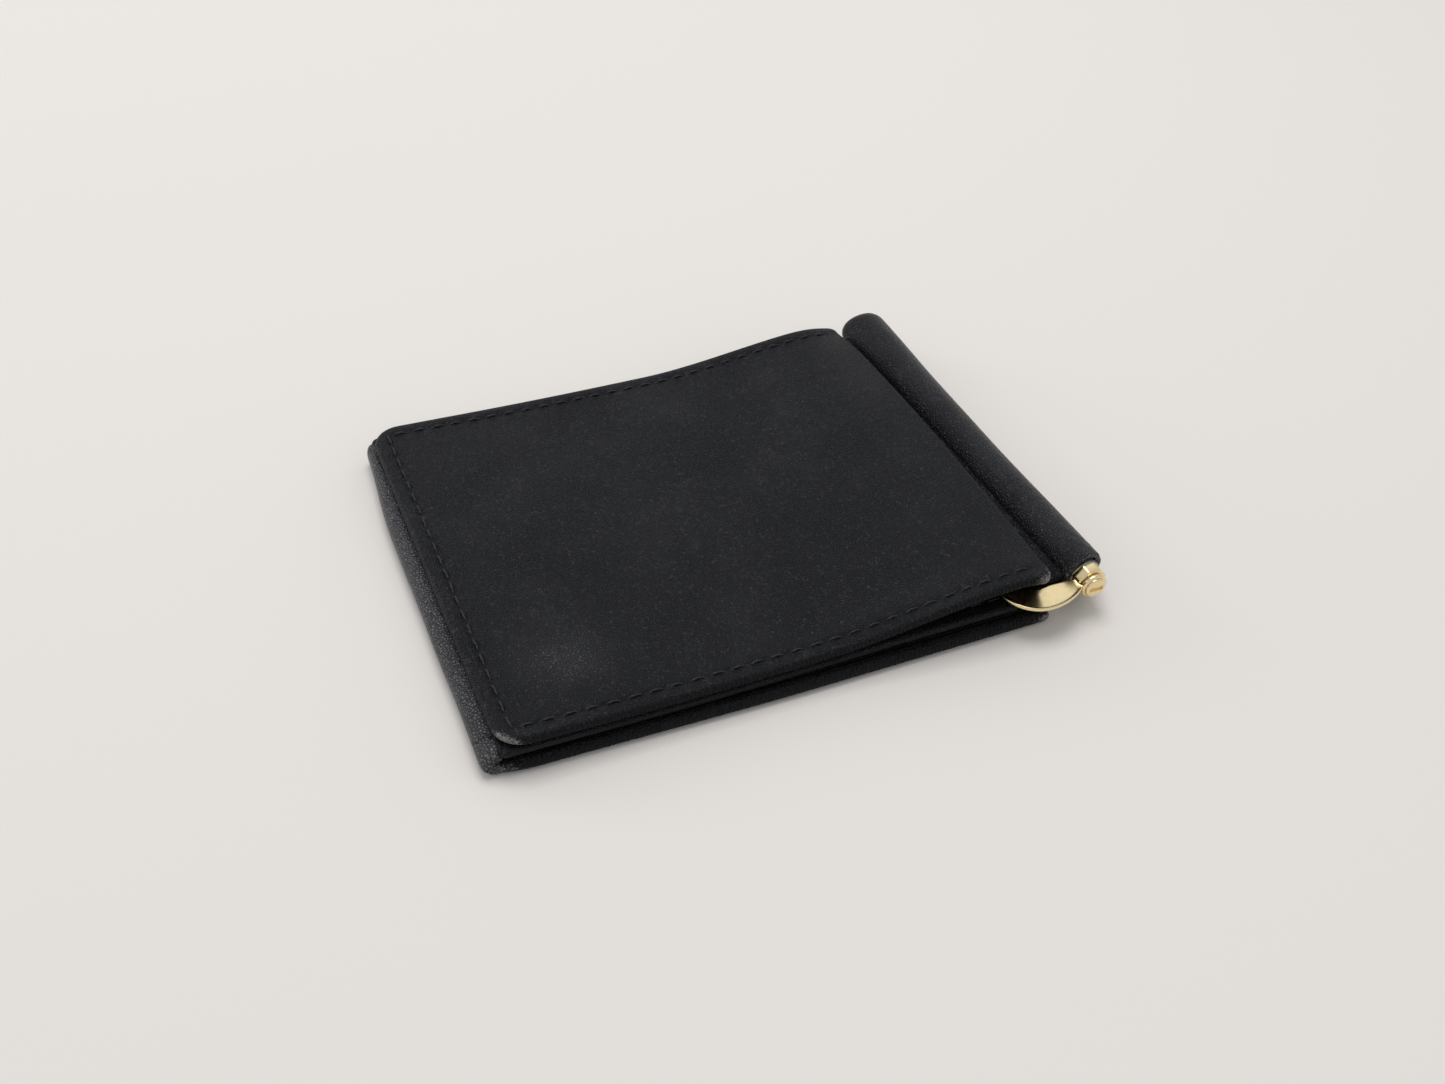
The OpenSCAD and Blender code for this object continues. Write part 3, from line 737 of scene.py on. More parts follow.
class WALLET_OT_cover_leaf(bpy.types.Operator):
    """Make the cover leaf: calf leather turned over a board, with its lining and stitches"""
    bl_idname = "wallet.cover_leaf"
    bl_label = "Cover leaf"

    def execute(self, context):
        sizes = context.scene.wallet_leather
        outline = cover_outline(sizes)
        mesh = leaf_mesh(
            "cover_leaf", outline,
            lambda x, y, d: cover_top(sizes, outline, x, y),
            lambda x, y, d: cover_bottom(sizes, outline, x, y, d),
            rim=sizes.cover_thickness / MM / 2, step=0.75, shift=cover_shift,
            wear=corner_wear(outline, (1.3, 0.3, 1.1, 0.2)), rub=cover_sheen_and_marks)
        mark_hem(mesh)
        finish_piece("cover_leaf", mesh, finish(context, calf_leather), "cover",
                     ("cover_outer_leather", "cover_board"))
        inset = sizes.hem_width / MM + 0.25
        lining = Outline(inset, COVER[1].x - inset, inset, LEAF_H - inset,
                         (outline.radii[0] - inset, outline.radii[1] - inset, 1.2, 1.2))
        mesh = leaf_mesh(
            "cover_lining_panel", lining,
            lambda x, y, d: COVER[0].z + cover_rise(sizes, x) + cover_sag(x, y) + 0.5,
            lambda x, y, d: COVER[0].z + cover_rise(sizes, x) + cover_sag(x, y) + 0.02,
            rim=0.24, fine_to=1.5, step=1.8)
        finish_piece("cover_lining_panel", mesh, finish(context, split_leather), "cover",
                     ("cover_lining",))
        sew("cover_stitching", sizes, outline,
            lambda x, y: cover_top(sizes, outline, x, y),
            finish(context, waxed_thread), "cover", ("cover_stitches",))
        return {"FINISHED"}


class WALLET_OT_clip_leaf(bpy.types.Operator):
    """Make the clip leaf, which lies between the cover and the card leaf"""
    bl_idname = "wallet.clip_leaf"
    bl_label = "Clip leaf"

    def execute(self, context):
        sizes = context.scene.wallet_leather
        outline = Outline(0, CLIP_LEAF[1].x, 0, LEAF_H, (1.5, 1.5, 2.5, 2.5))
        thick = CLIP_LEAF[1].z - CLIP_LEAF[0].z

        def top(x, y, d):
            return (CLIP_LEAF[1].z + clip_leaf_sag(x) + 0.05 * ripple(x, y, 37, 2.0)
                    - 0.14 * hump(d, sizes.stitch_inset / MM, 0.45))

        def bottom(x, y, d):
            recess = 0.35 * smooth_step((d - sizes.hem_width / MM) / 0.4)
            return CLIP_LEAF[0].z + clip_leaf_sag(x) + recess

        def shift(x, y):
            cut = smooth_step((x - 94.8) / 3.2) * np.clip(1 - y / 24, 0, 1)
            return 0 * x, 2.2 * cut

        mesh = leaf_mesh("clip_leaf", outline, top, bottom, rim=thick / 2, step=1.4, shift=shift,
                         wear=corner_wear(outline, (0.2, 0.1, 0.4, 0.1)))
        finish_piece("clip_leaf", mesh, finish(context, calf_leather), "clip_leaf",
                     ("clip_leaf_outer_leather", "clip_leaf_board"))
        inset = sizes.hem_width / MM + 0.25
        lining = Outline(inset, CLIP_LEAF[1].x - inset, inset, LEAF_H - inset, (1, 1, 1.5, 1.5))
        mesh = leaf_mesh("clip_leaf_lining_panel", lining,
                         lambda x, y, d: CLIP_LEAF[0].z + clip_leaf_sag(x) + 0.42,
                         lambda x, y, d: CLIP_LEAF[0].z + clip_leaf_sag(x) + 0.02,
                         rim=0.2, fine_to=1.5, step=1.8, shift=shift)
        finish_piece("clip_leaf_lining_panel", mesh, finish(context, split_leather), "clip_leaf",
                     ("clip_leaf_lining",))
        sew_flat("clip_leaf_stitching", sizes, CLIP_LEAF[1].x, 0.0,
                 lambda x, y: top(x, y, np.array(sizes.stitch_inset / MM)), 96.0,
                 finish(context, waxed_thread), "clip_leaf", ("clip_leaf_stitches",))
        return {"FINISHED"}


class WALLET_OT_card_leaf(bpy.types.Operator):
    """Make the card leaf that lies on the table, with its lining and three card pockets"""
    bl_idname = "wallet.card_leaf"
    bl_label = "Card leaf and pockets"

    def execute(self, context):
        sizes = context.scene.wallet_leather
        near = CARD_LEAF[0].y
        outline = Outline(0, CARD_LEAF[1].x, near, LEAF_H, (1.5, 1.5, 2.2, 4))
        thick = CARD_LEAF[1].z

        def top(x, y, d):
            recess = (thick - CARD_LINING[0].z) * smooth_step((d - sizes.hem_width / MM) / 0.35)
            return thick - recess + 0.04 * ripple(x, y, 6.1, 0.9) * hump(d, 0.8, 1.0)

        def shift(x, y):
            """The near side runs a little askew, and draws in at the left where the fold ends."""
            near_part = smooth_step(1 - (y - near) / 16)
            askew = 0.9 * smooth_step(1 - x / 55) + 0.8 * hump(x, -1, 4)
            tip = 1.3 * hump(x, outline.x1, 5) * smooth_step(1 - (y - near) / 3)
            return tip - 0.5 * hump(x, 0, 2.5) * near_part, askew * near_part

        mesh = leaf_mesh("card_leaf", outline, top, lambda x, y, d: 0 * x, rim=thick / 2, step=1.4,
                         shift=shift, wear=corner_wear(outline, (0.8, 0.1, 1.0, 0.3)))
        mark_hem(mesh)
        leather = finish(context, calf_leather)
        finish_piece("card_leaf", mesh, leather, "card_leaf",
                     ("card_leaf_outer_leather",))
        inset = sizes.hem_width / MM + 0.15
        lining = Outline(inset, CARD_LEAF[1].x - inset, near + inset, LEAF_H - inset, (1, 1, 2, 2))
        mesh = leaf_mesh("card_leaf_lining_panel", lining,
                         lambda x, y, d: CARD_LINING[1].z + 0.02 * ripple(x, y, 9, 3.0),
                         lambda x, y, d: CARD_LINING[0].z + 0 * x, rim=0.15, fine_to=1.2, step=2.2)
        finish_piece("card_leaf_lining_panel", mesh, finish(context, split_leather), "card_leaf",
                     ("card_leaf_lining",))
        for node in ("card_pocket_rear", "card_pocket_middle", "card_pocket_front"):
            self.pocket(context, node, leather)
        sew_flat("card_leaf_stitching", sizes, CARD_LEAF[1].x, near,
                 lambda x, y: top(x, y, np.array(1.9)), 200.0,
                 finish(context, waxed_thread), "card_leaf", ("card_leaf_stitches",))
        return {"FINISHED"}

    def pocket(self, context, node, leather):
        """One pocket: a thin sheet with a folded mouth and a creased line below it."""
        low, high = sketch_box(node)
        outline = Outline(low.x, high.x, low.y, high.y, (1, 0.6, 2, 0.6))

        def top(x, y, d):
            crease = 0.1 * hump(high.y - y, 2.4, 0.25)
            mouth = 0.05 * hump(high.y - y, 1.0, 0.9)
            return high.z + mouth - crease

        name = node.replace("card_pocket", "pocket_sheet")
        mesh = leaf_mesh(name, outline, top, lambda x, y, d: low.z + 0.02 + 0 * x,
                         rim=(high.z - low.z) / 2, fine_to=3.4, step=2.2,
                         wear=lambda x, y, d: 0.25 * hump(high.y - y, 0, 0.4))
        finish_piece(name, mesh, leather, "card_leaf", (node,))


class WALLET_OT_left_fold(bpy.types.Operator):
    """Make the leather that wraps the left side, from the card leaf up to the clip leaf"""
    bl_idname = "wallet.left_fold"
    bl_label = "Left fold"

    def execute(self, context):
        top_z, out = FOLD[1].z, FOLD[0].x
        half = top_z / 2
        rows = np.concatenate([FOLD[0].y + np.array([0, 0.08, 0.25, 0.5, 0.9]),
                               np.linspace(FOLD[0].y + 1.3, FOLD[0].y + 7, 24),
                               np.linspace(FOLD[0].y + 8, FOLD[1].y - 2.5, 70),
                               FOLD[1].y - np.array([1.6, 0.9, 0.5, 0.25, 0.08, 0])])
        slit = [(0.75, top_z - 1.5), (0.1, half + 0.42), (-0.55, half + 0.14), (-0.7, half),
                (-0.55, half - 0.14), (0.1, half - 0.3), (0.75, 1.5)]
        angles = np.radians(np.linspace(-90, -270, 33))
        rings, wear, along = [], [], []
        for y in rows:
            ends = min(1.0, min(y - FOLD[0].y, FOLD[1].y - y) / 1.4)
            shrink = 0.8 * (1 - math.sqrt(max(0.0, 1 - (1 - ends) ** 2)))
            narrow = 1.45 * float(smooth_step((y - 58) / 27))
            reach = -out - narrow + 0.12 * float(ripple(y, 0, 23, 1.7)) - 0.12 - shrink
            ring = []
            for a in angles:
                # A rounded square section is fuller than a circle, like a pressed fold
                c, s = math.cos(a), math.sin(a)
                crack = 0.35 * float(hump(y, FOLD[0].y + 4.6 - 1.2 * s, 0.28)) * max(0.0, 0.4 + s)
                x = -abs(c) ** 0.85 * (reach - crack)
                z = half + math.copysign(abs(s) ** 0.9, s) * (half - shrink - crack * abs(s))
                ring.append((min(x, 0.75), z))
            ring = [(0.75, shrink)] + ring + [(0.75, top_z - shrink)] + slit
            tail = math.exp(-(y - FOLD[0].y) / 2.2)
            ring = [(x, y - 1.0 * tail * (1 - z / top_z), z) for x, z in ring]
            rings.append(ring)
            tip = hump(y, FOLD[0].y, 3.2) + 0.5 * hump(y, FOLD[1].y, 1.5)
            wear += [0.85 * tip] * len(ring)
            along += [y] * len(ring)
        verts, faces = loft(rings)
        # The whole band carries painted sheen: its pebble tops are painted much lighter, so that
        # the fold looks grey as if it reflected the bright room
        mesh = mesh_from("fold_band", verts, faces,
                         {"wear": wear, "along_mm": along, "rub": [3.0] * len(wear)})
        piece = finish_piece("fold_band", mesh, finish(context, calf_leather), None,
                             ("fold_leather",))
        to_frame((-1, 40, 0.9)).tolist()
        to_frame((-1, 40, top_z - 0.9)).tolist()
        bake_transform(piece)
        return {"FINISHED"}


def roll_share(y):
    """Place along the roll, from 0 at the lip to 1 at the dome."""
    return min(1.0, max(0.0, (y - ROLL[0].y) / (ROLL[1].y - ROLL[0].y)))


def roll_pinch(y):
    """How far the roll draws in: most at its middle, where the sleeve is pulled tight."""
    return 0.5 * math.sin(math.pi * roll_share(y)) ** 1.4


def roll_swell(a, y):
    """How far the roll's skin lies outside its round form at an angle and a place along it."""
    share = roll_share(y)
    # The sleeve's loose leather hangs over the groove, more so towards the dome
    drape = (0.1 + 0.3 * share) * max(0.0, math.cos(a - math.radians(125))) ** 2
    drape += (0.2 + 1.3 * share) * max(0.0, math.cos(a - math.radians(170))) ** 4
    crease = 0.12 * float(ripple(a * 7, y * 1.6, 3.7, 0.6) * hump(y, ROLL[0].y, 7))
    uneven = 0.05 * float(ripple(a * 4, y, 19, 2.2))
    return drape + crease + uneven - roll_pinch(y)


class WALLET_OT_roll(bpy.types.Operator):
    """Make the leather roll over the rail, open at the near end and domed at the far end"""
    bl_idname = "wallet.roll"
    bl_label = "Leather roll"

    def execute(self, context):
        sizes = context.scene.wallet_leather
        wall = sizes.sleeve_wall / MM
        start, end = ROLL[0].y, ROLL[1].y
        profile = self.profile(start, end, wall)
        count = 72
        # Painted light: the roll's top and outer flank are marked for painted sheen, which paints
        # their pebble tops lighter as if lit, and the groove side stays dark
        outer = [0.3 + 0.7 * max(0.0, math.cos(2 * math.pi * j / count - math.radians(40)))
                 for j in range(count)]
        rings, wear, along, rub = [], [], [], []
        for r, y, inner in profile:
            ring = []
            for j in range(count):
                a = 2 * math.pi * j / count
                full = min(1, r / ROLL_R * 1.2) if inner < 1 else 0
                radius = r + full * roll_swell(a, y)
                slant = (0.4 + 0.8 * math.cos(a)) * math.exp(-(y - start) / 5)
                ring.append((ROLL_X + radius * math.cos(a), y + slant,
                             ROLL_Z + radius * math.sin(a)))
            rings.append(ring)
            wear += [0.85 * hump(y, start, 1.3) + 0.2 * hump(y, end, 0.8)] * count
            along += [y] * count
            rub += outer
        marks = {"wear": wear, "along_mm": along, "rub": rub}
        mesh = mesh_from("roll_leather", *loft(rings), marks)
        finish_piece("roll_leather", mesh, finish(context, calf_leather), "roll",
                     ("roll_sleeve",))
        self.seam(context, sizes)
        return {"FINISHED"}

    def profile(self, start, end, wall):
        """Radius and place of each ring, from the dome's tip over the lip and into the bore, with
        how far round the lip it is."""
        dome = 3.4
        rings = []
        for k in range(1, 13):
            a = math.pi / 2 * k / 12
            rings.append((ROLL_R - dome + dome * math.sin(a), end - dome + dome * math.cos(a), 0))
        rings.insert(0, (0.25 * (ROLL_R - dome), end, 0))
        for y in np.linspace(end - dome - 1, start + 14, 60):
            rings.append((ROLL_R, y, 0))
        for y in np.linspace(start + 13, start + wall / 2, 44):
            rings.append((ROLL_R, y, 0))
        for k in range(1, 10):
            a = math.pi * k / 9
            rings.append((ROLL_R - wall / 2 + wall / 2 * math.cos(a),
                          start + wall / 2 - wall / 2 * math.sin(a), k / 9))
        rings.append((ROLL_R - wall, start + 6, 1))
        return rings

    def seam(self, context, sizes):
        """The seam's stitches on the roll's left side, down in the groove."""
        radius = sizes.thread_diameter / MM / 2
        low, high = sketch_box("roll_seam_stitches")
        stitches = []
        count = int((high.y - low.y) * MM / sizes.stitch_pitch)
        for i in range(count + 1):
            y = low.y + i * sizes.stitch_pitch / MM
            points = []
            for t in np.linspace(0.02, 0.98, 7):
                at = y + t * sizes.stitch_length / MM
                skin = ROLL_X - ROLL_R - roll_swell(math.pi, at)
                points.append((skin - stitch_arch(t, radius * 0.5, 0.25), at, ROLL_Z))
            stitches.append(points)
        finish_piece("roll_seam_stitching", thread_mesh("roll_seam_stitching", stitches, radius),
                     finish(context, waxed_thread), "roll", ("roll_seam_stitches",))


def strip_along(name, sections, rows):
    """A leather strip: sections(y) gives the closed cross-section at y as x and z pairs."""
    rings = [[(x, y, z) for x, z in sections(y)] for y in rows]
    verts, faces = loft(rings)
    along = np.repeat(rows, len(rings[0]))
    return mesh_from(name, verts, faces, {"wear": np.zeros(len(verts)), "along_mm": along})


def thick_line(points, thickness):
    """Closed outline of a band of a thickness along a line of points, with square ends."""
    points = np.asarray(points, float)
    ways = directions(points)
    across = np.stack([-ways[:, 1], ways[:, 0]], -1) * thickness / 2
    left, right = points + across, points - across
    return [tuple(p) for p in left] + [tuple(p) for p in right[::-1]]


class WALLET_OT_hinge_leathers(bpy.types.Operator):
    """Make the leathers that join the roll to the cover and to the clip leaf"""
    bl_idname = "wallet.hinge_leathers"
    bl_label = "Hinge leathers"

    def execute(self, context):
        leather = finish(context, calf_leather)
        low, high = sketch_box("cover_hinge_leather")

        def groove(y):
            """From under the cover's edge, down into the groove and up onto the roll."""
            bulge = float(cover_shift(np.array(COVER[1].x), np.array(y))[0])
            lift = float(cover_sag(np.array(COVER[1].x), np.array(y)))
            edge = COVER[1].x + bulge
            top = COVER[1].z + lift
            roll_left = ROLL_X - (ROLL_R - roll_pinch(y)) * math.cos(math.radians(28))
            return thick_line(self.curve([
                (edge - 1.6, top - 0.95), (edge - 0.3, top - 1.05), (edge + 0.25, top - 2.0),
                (edge + 0.6, ROLL_Z + 2.0), (edge + 1.3, ROLL_Z + 0.9), (edge + 2.2, ROLL_Z + 0.6),
                (roll_left - 0.6, ROLL_Z + 0.9), (roll_left + 0.3, ROLL_Z + 1.4)]), 0.75)

        mesh = strip_along("groove_leather", groove, np.linspace(low.y + 0.3, high.y - 0.4, 60))
        piece = finish_piece("groove_leather", mesh, leather, None,
                             ("cover_hinge_leather",))
        to_frame((ROLL_X - ROLL_R + 0.2, 40, ROLL_Z + 1.7)).tolist()
        to_frame((COVER[1].x + 1.3, 40, ROLL_Z + 1.9)).tolist()
        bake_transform(piece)

        low, high = sketch_box("clip_hinge_leather")

        def under(y):
            """From the clip leaf's edge straight across to the roll's underside."""
            roll_left = ROLL_X - (ROLL_R - roll_pinch(y)) * math.cos(math.radians(20))
            middle = (low.z + high.z) / 2
            return thick_line(self.curve([
                (CLIP_LEAF[1].x - 1.2, middle), (CLIP_LEAF[1].x + 0.2, middle),
                (CLIP_LEAF[1].x + 1.6, middle - 0.05), (roll_left - 0.4, middle),
                (roll_left + 0.5, middle + 0.1)]), 0.7)

        mesh = strip_along("roll_root_leather", under, np.linspace(low.y + 0.4, high.y - 0.4, 50))
        piece = finish_piece("roll_root_leather", mesh, leather, None,
                             ("clip_hinge_leather",))
        to_frame((CLIP_LEAF[1].x + 0.3, 40, low.z)).tolist()
        to_frame((ROLL_X - ROLL_R + 0.1, 40, low.z)).tolist()
        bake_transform(piece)
        return {"FINISHED"}

    def curve(self, knots, steps=6):
        """A smooth line through the knots."""
        knots = np.asarray(knots, float)
        padded = np.vstack([2 * knots[0] - knots[1], knots, 2 * knots[-1] - knots[-2]])
        line = []
        for i in range(1, len(padded) - 2):
            p0, p1, p2, p3 = padded[i - 1:i + 3]
            for t in np.arange(steps) / steps:
                line.append(0.5 * (2 * p1 + (p2 - p0) * t + (2 * p0 - 5 * p1 + 4 * p2 - p3) * t ** 2
                                   + (3 * p1 - p0 - 3 * p2 + p3) * t ** 3))
        line.append(knots[-1])
        return line


class WALLET_OT_clip_arm(bpy.types.Operator):
    """Make the gilt clip arm: a blade with a raised rim, its turned neck and its knuckle"""
    bl_idname = "wallet.clip_arm"
    bl_label = "Clip arm"

    def execute(self, context):
        sizes = context.scene.wallet_arm
        width, thick = sizes.blade_width / MM, sizes.blade_thickness / MM
        turn, neck = sizes.turn_radius / MM, sizes.neck_radius / MM
        x0, y0, tip = ARM[0].x, ARM[0].y, ARM[1].y
        turn_x = x0 + turn
        knuckle_y = COLLAR[0].y - 0.3 - sizes.knuckle_thickness / MM / 2
        outer, inner = [], []
        # The tip's half-round, the straight blade and the turn, then the neck to the knuckle
        for a in np.radians(np.linspace(0, 90, 10)):
            y = tip - width / 2 + width / 2 * math.cos(a)
            outer.append((x0 + width / 2 - width / 2 * math.sin(a), y))
            inner.append((x0 + width / 2 + width / 2 * math.sin(a), y))
        for y in np.linspace(tip - width / 2 - 1, y0 + turn + 0.5, 60):
            outer.append((x0, y))
            inner.append((x0 + width, y))
        for a in np.radians(np.linspace(0, 90, 22)):
            for edge, r in ((outer, turn), (inner, turn - width)):
                edge.append((turn_x - r * math.cos(a), y0 + turn - r * math.sin(a)))
        back_y = y0 + width
        neck_end = COLLAR[0].x - 0.15
        half = sizes.knuckle_thickness / MM / 2
        for x in [*np.linspace(turn_x + 0.6, neck_end, 14),
                  *np.linspace(neck_end + 0.08, neck_end + 0.4, 4),
                  *np.linspace(neck_end + 0.7, ROLL_X - 1.0, 4)]:
            arc = y0 + neck - math.sqrt(neck ** 2 - (x - turn_x) ** 2)
            drop = float(smooth_step((x - neck_end) / 0.4))
            outer.append((x, min(knuckle_y - half, arc)))
            inner.append((x, back_y + (knuckle_y + half - back_y) * drop))
        rings = []
        for (ox, oy), (ix, iy) in zip(outer, inner):
            span = max(0.02, math.hypot(ix - ox, iy - oy))
            rings.append(self.section((ox, oy), (ix, iy), span, thick, sizes.rim_height / MM))
        verts, faces = loft(rings)
        knuckle_verts, knuckle_faces = self.disc(knuckle_y, sizes.knuckle_thickness / MM)
        faces += [tuple(f + len(verts) for f in face) for face in knuckle_faces]
        mesh = mesh_from("clip_arm_blade", np.concatenate([verts, knuckle_verts]), faces)
        finish_piece("clip_arm_blade", mesh, finish(context, gold_plate), "arm",
                     ("clip_arm",))
        return {"FINISHED"}

    def section(self, outer, inner, span, thick, rim):
        """Closed cross-section from the outer to the inner edge, with the rim on the outer one."""
        # Distance from the outer edge, or below 0 from the inner one or None at the middle, with
        # the height as a share of the thickness: over the top and back along the underside
        ring = [(0.0, 0.62), (0.02, 0.85), (0.06, 1.0 + 0.6 * rim), (0.16, 1.0 + rim),
                (0.3, 1.0 + 0.7 * rim), (0.42, 0.95), (0.8, 0.88), (None, 0.82), (-0.5, 0.9),
                (-0.12, 0.97), (-0.02, 0.8), (-0.02, 0.25), (-0.14, 0.03), (None, 0.0), (0.4, 0.1),
                (0.08, 0.4)]
        points = []
        for d, z in ring:
            if d is None:
                share = 0.5
            elif d >= 0:
                share = min(d / span, 0.48)
            else:
                share = max(1 + d / span, 0.52)
            x = outer[0] + (inner[0] - outer[0]) * share
            y = outer[1] + (inner[1] - outer[1]) * share
            points.append((x, y, ROLL_Z + z * thick))
        return points

    def disc(self, middle_y, thick):
        """The round knuckle: a short disc with rounded edges on the roll's axis."""
        radius, half = (ARM[1].z - ARM[0].z) / 2, thick / 2
        edge, corner = 0.3, 0.09    # reach of the rounding, and its depth half-way round
        side = [(0.3, half), (radius - edge, half), (radius - corner, half - corner),
                (radius, half - edge)]
        profile = [(r, -y) for r, y in side] + side[::-1]
        return loft([around_roll(r, middle_y + y, 56) for r, y in profile])


def around_roll(radius, y, count, start=0.0):
    """A ring of points round the roll's axis, from an angle in degrees on."""
    angles = [math.radians(start) + 2 * math.pi * i / count for i in range(count)]
    return [(ROLL_X + radius * math.cos(a), y, ROLL_Z + radius * math.sin(a)) for a in angles]


def applied(piece):
    """The piece's mesh with its modifiers applied."""
    graph = bpy.context.evaluated_depsgraph_get()
    return bpy.data.meshes.new_from_object(piece.evaluated_get(graph))


class WALLET_OT_collar_and_screw(bpy.types.Operator):
    """Make the faceted collar and the slotted screw, with broken edges"""
    bl_idname = "wallet.collar_and_screw"
    bl_label = "Collar and screw"

    def execute(self, context):
        gold = finish(context, gold_plate)
        self.collar(context, gold)
        self.screw(context, gold)
        return {"FINISHED"}

    def bevelled(self, name, mesh, width, cutter=None):
        """Cuts the mesh with another one if asked to, and rounds its edges."""
        rough = bpy.data.objects.new(name + "_rough", mesh)
        bpy.context.scene.collection.objects.link(rough)
        if cutter:
            tool = bpy.data.objects.new(name + "_tool", cutter)
            bpy.context.scene.collection.objects.link(tool)
            cut = rough.modifiers.new("cut", "BOOLEAN")
            cut.object, cut.operation, cut.solver = tool, "DIFFERENCE", "EXACT"
        bevel = rough.modifiers.new("edges", "BEVEL")
        bevel.width, bevel.segments, bevel.limit_method = width * MM, 3, "ANGLE"
        bevel.angle_limit = math.radians(25)
        bpy.context.view_layer.update()
        result = applied(rough)
        bpy.data.objects.remove(rough)
        if cutter:
            bpy.data.objects.remove(tool)
        result.name = name
        return result

    def collar(self, context, gold):
        radius = (COLLAR[1].z - COLLAR[0].z) / 2 / math.cos(math.pi / 8)
        start, end = COLLAR[0].y, ROLL[0].y + 2.2
        profile = [(1.7, start), (radius, start), (radius, end), (1.7, end)]
        rings = [around_roll(r, y, 8, 22.5) for r, y in profile]
        mesh = self.bevelled("collar", mesh_from("collar_rough", *loft(rings)), 0.28)
        finish_piece("collar", mesh, gold, "roll", ("rail_collar",))

    def screw(self, context, gold):
        sizes = context.scene.wallet_arm
        radius, start = (SCREW[1].x - SCREW[0].x) / 2, SCREW[0].y
        seat = start + sizes.head_height / MM
        shank, core = 0.9, 0.3
        profile = [(core, start), (radius - 0.5, start), (radius - 0.16, start + 0.08),
                   (radius, start + 0.26), (radius, seat), (shank, seat), (shank, SCREW[1].y),
                   (core, SCREW[1].y)]
        head = mesh_from("screw_rough", *loft([around_roll(r, y, 48) for r, y in profile]))
        half_x, half_z = sizes.slot_length / MM / 2, sizes.slot_width / MM / 2
        slot = []
        for y in (start - 1, start + sizes.slot_depth / MM):
            slot.append([(ROLL_X + sx * half_x, y, ROLL_Z + sz * half_z)
                         for sx, sz in ((-1, -1), (1, -1), (1, 1), (-1, 1))])
        mesh = self.bevelled("slotted_screw", head, 0.06, mesh_from("slot_tool", *loft(slot)))
        finish_piece("slotted_screw", mesh, gold, "arm", ("knuckle_screw",))


class WALLET_OT_inner_metal(bpy.types.Operator):
    """Give the steel parts inside the roll their finish"""
    bl_idname = "wallet.inner_metal"
    bl_label = "Inner metal parts"

    def execute(self, context):
        steel = finish(context, spring_steel)
        for node in ("spring_rail", "rail_end_plug", "friction_spring", "spring_rivets",
                     "thrust_washer", "arm_spindle"):
            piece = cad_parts[node]
            for entry in piece.material_slots:
                entry.material = steel
        return {"FINISHED"}


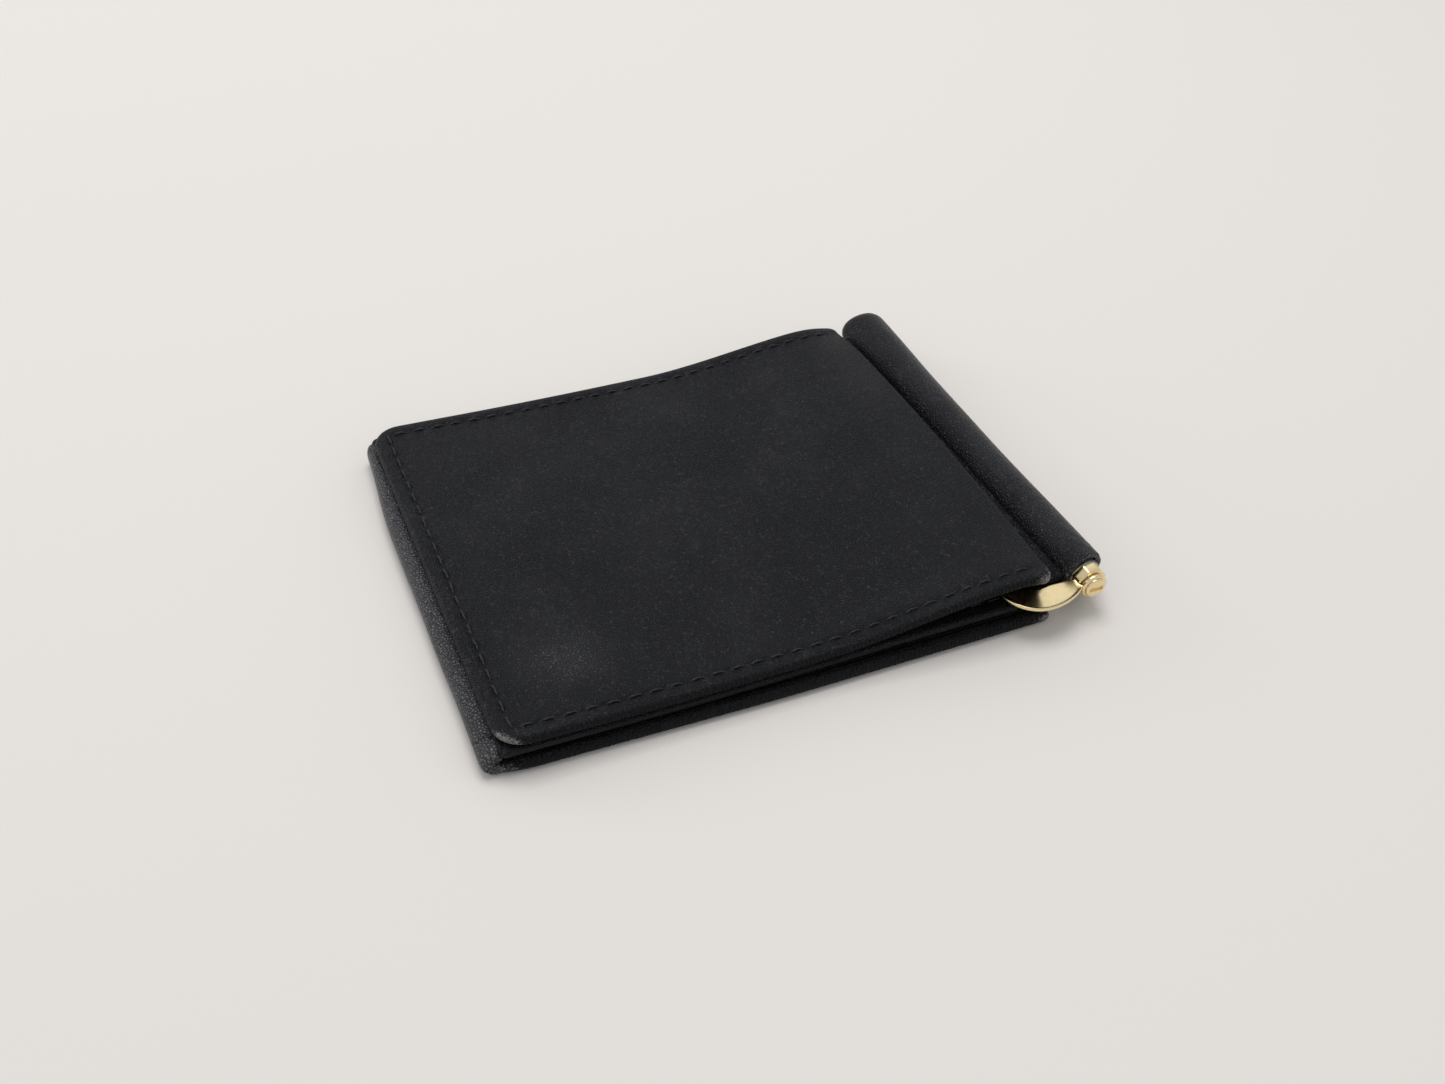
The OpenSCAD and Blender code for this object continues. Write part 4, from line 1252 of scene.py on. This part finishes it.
class WALLET_OT_stage(bpy.types.Operator):
    """Set the pale floor, the soft lights and the camera"""
    bl_idname = "wallet.stage"
    bl_label = "Stage"

    def execute(self, context):
        bpy.ops.mesh.primitive_plane_add(size=60, location=(0, 0, -0.0001))
        floor = context.object
        floor.name = "floor"
        floor.data.materials.append(finish(context, floor_paper))
        context.scene.view_settings.view_transform = "Standard"
        self.camera(context)
        self.lights(context)
        return {"FINISHED"}

    def camera(self, context):
        """Looks down at the near left corner, from just above arm's length."""
        heading, pitch, roll = (math.radians(a) for a in (26.64, 41.61, 4.37))
        forward = Vector((math.sin(heading) * math.cos(pitch), math.cos(heading) * math.cos(pitch),
                          -math.sin(pitch)))
        level = Vector((math.cos(heading), -math.sin(heading), 0))
        upright = level.cross(forward)
        right = level * math.cos(roll) + upright * math.sin(roll)
        up = upright * math.cos(roll) - level * math.sin(roll)
        data = bpy.data.cameras.new("camera")
        data.sensor_width, data.lens, data.clip_start = 36.0, 34.88, 0.01
        camera = bpy.data.objects.new("camera", data)
        context.scene.collection.objects.link(camera)
        place = Vector(to_frame((-33.25, -137.32, 174.73)))     # millimetres of the sketch frame
        turn = Matrix((right, up, -forward)).transposed().to_4x4()
        camera.matrix_world = Matrix.Translation(place) @ turn
        context.scene.camera = camera

    def lights(self, context):
        world = bpy.data.worlds.new("soft_room")
        world.use_nodes = True
        background = world.node_tree.nodes["Background"]
        background.inputs["Color"].default_value = (0.97, 0.985, 1.0, 1)
        background.inputs["Strength"].default_value = 0.6
        context.scene.world = world
        # Name, place and side in metres, power in watts and tint
        for name, place, size, power, tint in (
                ("ceiling_softbox", (0.05, 0.4, 1.2), 0.7, 7.2, (1.0, 0.97, 0.94)),
                ("far_softbox", (0.67, 0.6, 0.8), 0.4, 0.15, (1.0, 0.99, 0.98)),
                ("side_softbox", (-0.95, 0.87, 0.3), 0.55, 3.0, (0.98, 0.99, 1.0))):
            data = bpy.data.lights.new(name, "AREA")
            data.size, data.energy, data.color = size, power, tint
            lamp = bpy.data.objects.new(name, data)
            context.scene.collection.objects.link(lamp)
            lamp.location = place
            lamp.rotation_euler = (-Vector(place)).to_track_quat("-Z", "Y").to_euler()


class WALLET_PT_panel(bpy.types.Panel):
    """Lists the wallet's pieces and sizes"""
    bl_label = "Money-clip wallet"
    bl_idname = "WALLET_PT_panel"
    bl_space_type = "VIEW_3D"
    bl_region_type = "UI"
    bl_category = "Wallet"

    def draw(self, context):
        layout = self.layout
        for step in STEPS:
            layout.operator(step.bl_idname)
        for group in ("wallet_leather", "wallet_arm", "wallet_colours"):
            box = layout.box()
            settings = getattr(context.scene, group)
            for key in settings.__annotations__:
                box.prop(settings, key)


STEPS = (WALLET_OT_stage, WALLET_OT_cover_leaf, WALLET_OT_clip_leaf, WALLET_OT_card_leaf,
         WALLET_OT_left_fold, WALLET_OT_roll, WALLET_OT_hinge_leathers, WALLET_OT_clip_arm,
         WALLET_OT_collar_and_screw, WALLET_OT_inner_metal)
GROUPS = {"wallet_leather": WalletLeatherSizes, "wallet_arm": WalletArmSizes,
          "wallet_colours": WalletColours}
CLASSES = (*GROUPS.values(), *STEPS, WALLET_PT_panel)


def register():
    for cls in CLASSES:
        bpy.utils.register_class(cls)
    for key, group in GROUPS.items():
        setattr(bpy.types.Scene, key, bpy.props.PointerProperty(type=group))


def unregister():
    for key in GROUPS:
        delattr(bpy.types.Scene, key)
    for cls in reversed(CLASSES):
        bpy.utils.unregister_class(cls)


def main():
    register()
    for step in STEPS:
        group, name = step.bl_idname.split(".")
        getattr(getattr(bpy.ops, group), name)()
    bpy.context.view_layer.update()


if __name__ == "__main__":
    main()
